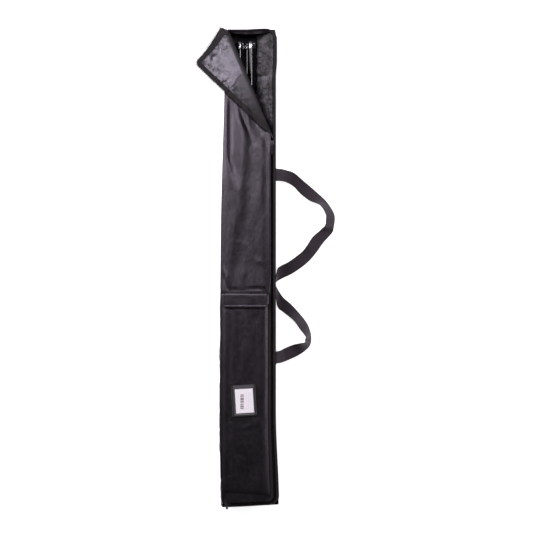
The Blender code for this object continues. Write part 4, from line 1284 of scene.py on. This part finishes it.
def strap():
    """The handle: one strap in two loops, cupped a little to one face and then the other."""
    outer = through([s[0] for s in STRAP], 10)
    inner = through([s[1] for s in STRAP], 10)
    share = np.linspace(0.0, 1.0, 13)
    points = outer[:, None] + (inner - outer)[:, None] * share[None, :, None]
    normal = normals_of(points)
    normal = np.where(normal[..., 2:3] < 0.0, -normal, normal)
    middle = points.mean(axis=1)
    run = np.concatenate([[0.0], np.cumsum(np.linalg.norm(np.diff(middle, axis=0), axis=1))])
    along, across = grid(run, share * WEB_WIDTH)
    cup = 0.5 * np.cos(math.pi * 2.0 * (share - 0.5))[None, :, None]
    wave = 0.35 * np.sin(along / 23.0)[..., None]
    points = points + normal * (cup * wave)
    points[..., 2] = np.maximum(points[..., 2], STRAP_LOWEST)
    piece = add_sheet("carry_strap", points, WEB_THICK, [WEBBING], "handle", flip=True,
                      values={"along": along, "across": across},
                      replaces=["carry_handle"], slot="webbing")


TAB_PITCH, TAB_STITCH = 3.4, 2.4


def tab_face_x(y, z):
    """Outer face of a tab, which lies on the right side of the case."""
    return np.maximum(right_gusset_x(y, z), right_wall_x(y, z) + 1.0) + 2.2


def anchors():
    """The tabs that the strap is sewn to, with a box-and-cross seam on each."""
    parts = []
    for name, node in (("anchor_tab_upper", "handle_anchor_upper"),
                       ("anchor_tab_lower", "handle_anchor_lower")):
        low, high = corners(node)
        y, z = grid(np.linspace(high.y, low.y, 13), np.linspace(low.z - 2.5, high.z, 12))
        points = np.stack([tab_face_x(y, z), y, z], -1)
        add_sheet(name, points, WEB_THICK, [WEBBING], "root", flip=True,
                  values={"along": z, "across": y - low.y},
                  replaces=[node], slot="webbing")
        y_low, y_high, z_low, z_high = low.y + 3, high.y - 3, low.z + 2, high.z - 2
        box = [(y_low, z_low), (y_high, z_low), (y_high, z_high), (y_low, z_high),
               (y_low, z_low), (y_high, z_high), (y_high, z_low), (y_low, z_high)]
        for (ya, za), (yb, zb) in zip(box, box[1:]):
            length = math.hypot(yb - ya, zb - za)
            for k in range(int(length // TAB_PITCH)):
                ends = []
                for t in (k * TAB_PITCH / length, (k * TAB_PITCH + TAB_STITCH) / length):
                    py, pz = ya + (yb - ya) * t, za + (zb - za) * t
                    ends.append((float(tab_face_x(py, pz)) + 0.1, py, pz))
                parts.append(bead(ends[0], ends[1], 0.3, up=(1.0, 0.0, 0.0)))
    return parts


# ---- poles ---------------------------------------------------------------------------------

TURNED_SIDES = 48
FILLET_STEPS = 6


def turned_piece(name, profile, centre, look, body, replaces, slot):
    """A piece turned about a line along Y, from (radius, y) points of its outline."""
    closed = profile[0] == profile[-1]
    if closed:
        profile = profile[:-1]
    turn = np.arange(TURNED_SIDES) / TURNED_SIDES * math.tau
    rings = [np.stack([centre[0] + radius * np.sin(turn), np.full(TURNED_SIDES, y),
                       centre[1] + radius * np.cos(turn)], -1) for radius, y in profile]
    return add_piece(name, np.concatenate(rings),
                     lathe_faces(len(profile), TURNED_SIDES, closed), [look], body,
                     replaces=replaces, slot=slot, sharp=32.0)


def arc_profile(centre_r, centre_y, radius, start, end):
    """Profile points round a fillet, between two angles in degrees."""
    made = []
    for k in range(FILLET_STEPS + 1):
        turn = math.radians(start + (end - start) * k / FILLET_STEPS)
        made.append((centre_r + radius * math.cos(turn), centre_y + radius * math.sin(turn)))
    return made


POLE_WALL, POLE_EDGE, SOCKET = 1.0, 0.4, 20.0


def poles():
    """Five poles: a painted tube, a chrome collar with a bead, a cap and a rubber foot."""
    for n in range(1, 6):
        low, high = corners(f"pole_tube_{n}")
        centre = ((low.x + high.x) / 2.0, (low.z + high.z) / 2.0)
        foot, head, r = low.y, high.y, (high.x - low.x) / 2.0
        bore = r - POLE_WALL
        tube = [(r, foot + POLE_EDGE), (r, head - POLE_EDGE), (r - POLE_EDGE, head),
                (bore, head), (bore, head - SOCKET), (bore, foot + SOCKET), (bore, foot),
                (r - POLE_EDGE, foot), (r, foot + POLE_EDGE)]
        c_low, c_high = (c.y for c in corners(f"pole_collar_{n}"))
        cr = corners(f"pole_collar_{n}")[1].x - centre[0]
        ring = [(r + 0.1, c_low), (cr - 0.1, c_low)]
        ring += arc_profile(cr - 0.25, c_low + 0.8, 0.45, -80, 80)
        ring += [(cr - 0.3, c_low + 1.9), (cr - 0.3, c_high - 2.6)]
        ring += arc_profile(cr - 0.6, c_high - 1.3, 0.9, -60, 75)
        ring += [(r + 0.1, c_high), (r + 0.1, c_low)]
        p_low, p_high = (c.y for c in corners(f"pole_plug_{n}"))
        cap = [(bore - 0.3, p_low), (bore - 0.3, head + 0.2), (r - 0.3, head + 0.2)]
        cap += arc_profile(r - 1.5, head + 1.2, 1.2, 0, 80)
        cap += [(r * 0.5, p_high - 0.1), (r * 0.42, p_high - 0.1), (r * 0.38, p_high - 0.9),
                (0.6, p_high - 0.9)]
        f_low, f_high = (c.y for c in corners(f"pole_foot_{n}"))
        end = [(0.8, f_low), (r - 2.2, f_low)]
        end += arc_profile(r - 1.6, f_low + 1.5, 1.5, -85, 0)
        end += [(r - 0.1, foot - 0.5), (bore - 0.3, foot - 0.2), (bore - 0.3, f_high),
                (0.8, f_high)]
        for part, profile, look, node, slot in (
                ("paint", tube, PAINT, "pole_tube", "pole_paint"),
                ("collar", ring, CHROME, "pole_collar", "chrome"),
                ("cap", cap, PLASTIC, "pole_plug", "black_plastic"),
                ("rubber", end, RUBBER, "pole_foot", "rubber")):
            turned_piece(f"pole_{n}_{part}", profile, centre, look, f"pole_{n}",
                         [f"{node}_{n}"], slot)


# ---- sliders -------------------------------------------------------------------------------

def slab(outline, low, high, hole=None, bevel=0.35):
    """A plate with a bevelled edge from its outline, and a hole with as many points."""
    outline = np.asarray(outline, float)
    count = len(outline)
    centre = outline.mean(axis=0)
    size = np.linalg.norm(outline - centre, axis=1, keepdims=True)
    smaller = centre + (outline - centre) * (1.0 - bevel / size)
    loops = [(smaller, low), (outline, low + bevel), (outline, high - bevel), (smaller, high)]
    if hole is not None:
        loops += [(np.asarray(hole, float), high), (np.asarray(hole, float), low)]
    rings = [np.column_stack([ring, np.full(count, z)]) for ring, z in loops]
    return np.concatenate(rings), lathe_faces(len(rings), count, hole is not None)


OUTLINE_POINTS = 40


def rounded(width, y_low, y_high, r_low, r_high, waist=0.0):
    """An outline with round ends: r_low and r_high are the shares of width at its two ends."""
    made = []
    for k in range(OUTLINE_POINTS):
        turn = math.tau * k / OUTLINE_POINTS
        up = (1.0 - math.cos(turn)) / 2.0
        lean = math.sin(turn)
        squared = math.copysign(abs(lean) ** 0.45, lean)
        half = (r_low + (r_high - r_low) * up) * width / 2.0
        half -= waist * math.sin(math.pi * up) ** 2
        made.append((squared * half, y_low + (y_high - y_low) * up))
    return made


def ellipse(x, y, half_x, half_y, count):
    """Outline of an ellipse about a point."""
    return [(x + half_x * math.cos(a), y + half_y * math.sin(a))
            for a in np.arange(count) / count * math.tau]


def place(shape, at, along_x=False):
    """A shape moved to at, with its +Y turned to +X if along_x."""
    verts, faces = shape
    verts = np.asarray(verts, float)
    if along_x:
        verts = np.column_stack([verts[:, 1], -verts[:, 0], verts[:, 2]])
    return verts + np.asarray(at, float), faces


RIDGED_FROM = 15.0      # a pull longer than this has grip ridges


def sliders():
    """Zip sliders with their pulls."""
    for name, along_x, tab in (("upper", False, TEETH), ("lower", True, STEEL)):
        low, high = corners("zip_slider_" + name)
        cx, cy = (low.x + high.x) / 2.0, (low.y + high.y) / 2.0
        shell = low.z + 1.2
        half = max(high.x - low.x, high.y - low.y) / 2.0
        body = slab(rounded(8.4, -half, half, 0.8, 1.0, 0.5), shell - 0.6, shell + 0.9)
        lips = [slab(ellipse(side * 3.6, 0.0, 0.55, half * 0.8, 24), low.z, shell + 0.3,
                     bevel=0.2) for side in (-1.0, 1.0)]
        arch = np.array([(0.0, -3.7, shell + 0.6), (0.0, -3.4, shell + 2.0),
                         (0.0, -2.2, shell + 3.1), (0.0, 0.0, shell + 3.4),
                         (0.0, 2.4, shell + 3.0), (0.0, 3.5, shell + 1.9),
                         (0.0, 3.7, shell + 0.6)])
        arch = through(arch, 5)
        rings = oval_rings(arch, (1.0, 0.0, 0.0), 0.85, 0.45)
        bridge = rings.reshape(-1, 3), lathe_faces(len(arch), TUBE_SIDES)
        parts = [place(shape, (cx, cy, 0.0), along_x) for shape in (body, *lips, bridge)]
        verts, faces = merged(parts)
        add_piece(f"slider_{name}_body", verts, faces, [DARK_STEEL], "slider_" + name,
                  replaces=["zip_slider_" + name], slot="steel", sharp=38.0)
        p_low, p_high = corners("zip_pull_" + name)
        px = (p_low.x + p_high.x) / 2.0
        outline = rounded(6.0, p_low.y, p_high.y, 1.05, 0.82, 0.5)
        hole = rounded(2.4, p_high.y - 5.2, p_high.y - 1.0, 1.0, 1.0)
        parts = [slab(outline, p_low.z, p_high.z, hole, 0.25)]
        if p_high.y - p_low.y > RIDGED_FROM:
            parts += [slab(ellipse(0.0, y, 1.7, 0.35, 16), p_high.z - 0.1, p_high.z + 0.35,
                           bevel=0.12)
                      for y in np.arange(p_low.y + 3.0, p_high.y - 8.0, 1.8)]
        verts, faces = merged([place(shape, (px, 0.0, 0.0)) for shape in parts])
        add_piece(f"pull_{name}_tab", verts, faces, [tab], "pull_" + name,
                  replaces=["zip_pull_" + name],
                  slot="black_plastic" if tab is TEETH else "steel", sharp=38.0)


# ---- seams ---------------------------------------------------------------------------------

BODY_SEAM, FLAP_SEAM = 3.9, -9.4      # distances from the zip's centre line


def beside_chain(run, offset):
    """x and y beside the zip's centre line, outward by offset."""
    x, y, nx, ny = on_chain(run)
    return x + nx * offset, y + ny * offset


def seams(flap_seam_path, extra_root):
    """All stitching, one piece for each body that it moves with."""
    ys = np.arange(FOLD_AT.y - 30.0, CHAIN_BOTTOM + 12.0, -4.0)
    ys = ys[(ys < 250.0) & (ys > POCKET_Y)]
    hem = [(float(front_right_x(y)) - 1.8, y) for y in ys]
    case = stitches_along([(x, y, float(front_z(x, y))) for x, y in hem], lift=0.1)
    for x in (POCKET_HIGH.x - 0.6, POCKET_LOW.x + 0.8):
        ys = np.arange(POCKET_HIGH.y - 4.0, POCKET_LOW.y + 6.0, -4.0)
        case += stitches_along([(x, y, float(pocket_z(x, y))) for y in ys], lift=0.1)
    runs = np.arange(2.0, CHAIN_LENGTH - 2.0, 3.0)
    case += stitches_along([(*beside_chain(run, BODY_SEAM), TAPE_HIGH + 0.05) for run in runs])
    corner = [turned_over(beside_chain(run, FLAP_SEAM)) + [0.0, 0.0, 0.05]
              for run in flap_runs(3.0, 12.0)]
    for name, parts, body in (
            ("stitching_case", extra_root + case, "root"),
            ("stitching_corner", stitches_along(corner), "corner"),
            ("stitching_pocket_flap", stitches_along(flap_seam_path, lift=0.08), "pocket_flap")):
        verts, faces = merged(parts)
        add_piece(name, verts, faces, [THREAD], body, slot="webbing")


def small_cad_parts():
    """Finishes for the CAD nodes that show as they are."""
    for node, look in (("zip_stop_start", STEEL), ("zip_stop_end", STEEL),
                       ("hook_strip", PLASTIC), ("loop_strip", PLASTIC)):
        finish_node(node, look)


# ---- stage ---------------------------------------------------------------------------------

def stage():
    """Pale floor, soft lights and the camera."""
    floor_look = Look("pale_floor", Roughness=0.9, Base_Color=(0.86, 0.86, 0.86, 1.0),
                      Emission_Color=(1.0, 1.0, 1.0, 1.0), Emission_Strength=0.85)
    mesh = bpy.data.meshes.new("floor")
    half, level = 40.0, -0.0008      # metres
    mesh.from_pydata([(x, y, level) for x, y in ((-half, -half), (half, -half), (half, half),
                                                 (-half, half))], [], [(0, 1, 2, 3)])
    mesh.materials.append(floor_look.material)
    floor = bpy.data.objects.new("floor", mesh)
    bpy.context.scene.collection.objects.link(floor)

    world = bpy.data.worlds.new("studio")
    world.use_nodes = True
    sockets = world.node_tree.nodes["Background"].inputs
    sockets["Color"].default_value = (0.92, 0.94, 1.0, 1.0)
    sockets["Strength"].default_value = 0.05
    bpy.context.scene.world = world

    for name, at, aim, size, power in (
            ("key", (-1.15, 0.85, 0.95), (0.0, 0.2, 0.0), (1.4, 1.4), 37.0),
            ("overhead", (-0.10, 0.74, 1.7), (0.0, 0.35, 0.0), (0.14, 0.7), 11.0),
            ("right_fill", (1.4, -0.1, 0.75), (0.0, 0.0, 0.0), (0.6, 1.2), 10.0)):
        light = bpy.data.lights.new(name, "AREA")
        light.shape = "RECTANGLE"
        light.size, light.size_y = size
        light.energy = power
        light.color = (1.0, 0.93, 1.0)
        lamp = bpy.data.objects.new(name, light)
        lamp.location = at
        lamp.rotation_euler = (Vector(aim) - Vector(at)).to_track_quat("-Z", "Y").to_euler()
        bpy.context.scene.collection.objects.link(lamp)

    camera = bpy.data.cameras.new("camera")
    camera.lens, camera.sensor_width = 85.0, 36.0
    camera.clip_end = 100.0
    eye = bpy.data.objects.new("camera", camera)
    eye.location = (0.0377, 0.0041, 2.619)
    bpy.context.scene.collection.objects.link(eye)
    bpy.context.scene.camera = eye
    bpy.context.scene.view_settings.view_transform = "Standard"
    bpy.context.scene.view_settings.look = "None"


def main():
    """Dress the frame."""
    stage()
    back_cloth()
    left_gusset()
    right_gusset()
    end_gusset("top_gusset", 1.0, "top_end_panel", CRUSHED_LINING, 8.0)
    end_gusset("bottom_gusset", -1.0, "bottom_end_panel", DARK_LINING, 1.0)
    front_cloth()
    fold_roll()
    corner_cloth()
    pipings()
    tapes()
    teeth()
    pocket_cloth()
    flap_seam_path = pocket_flap()
    extra = window()
    inner_pocket()
    strap()
    extra += anchors()
    poles()
    sliders()
    seams(flap_seam_path, extra)
    small_cad_parts()


main()
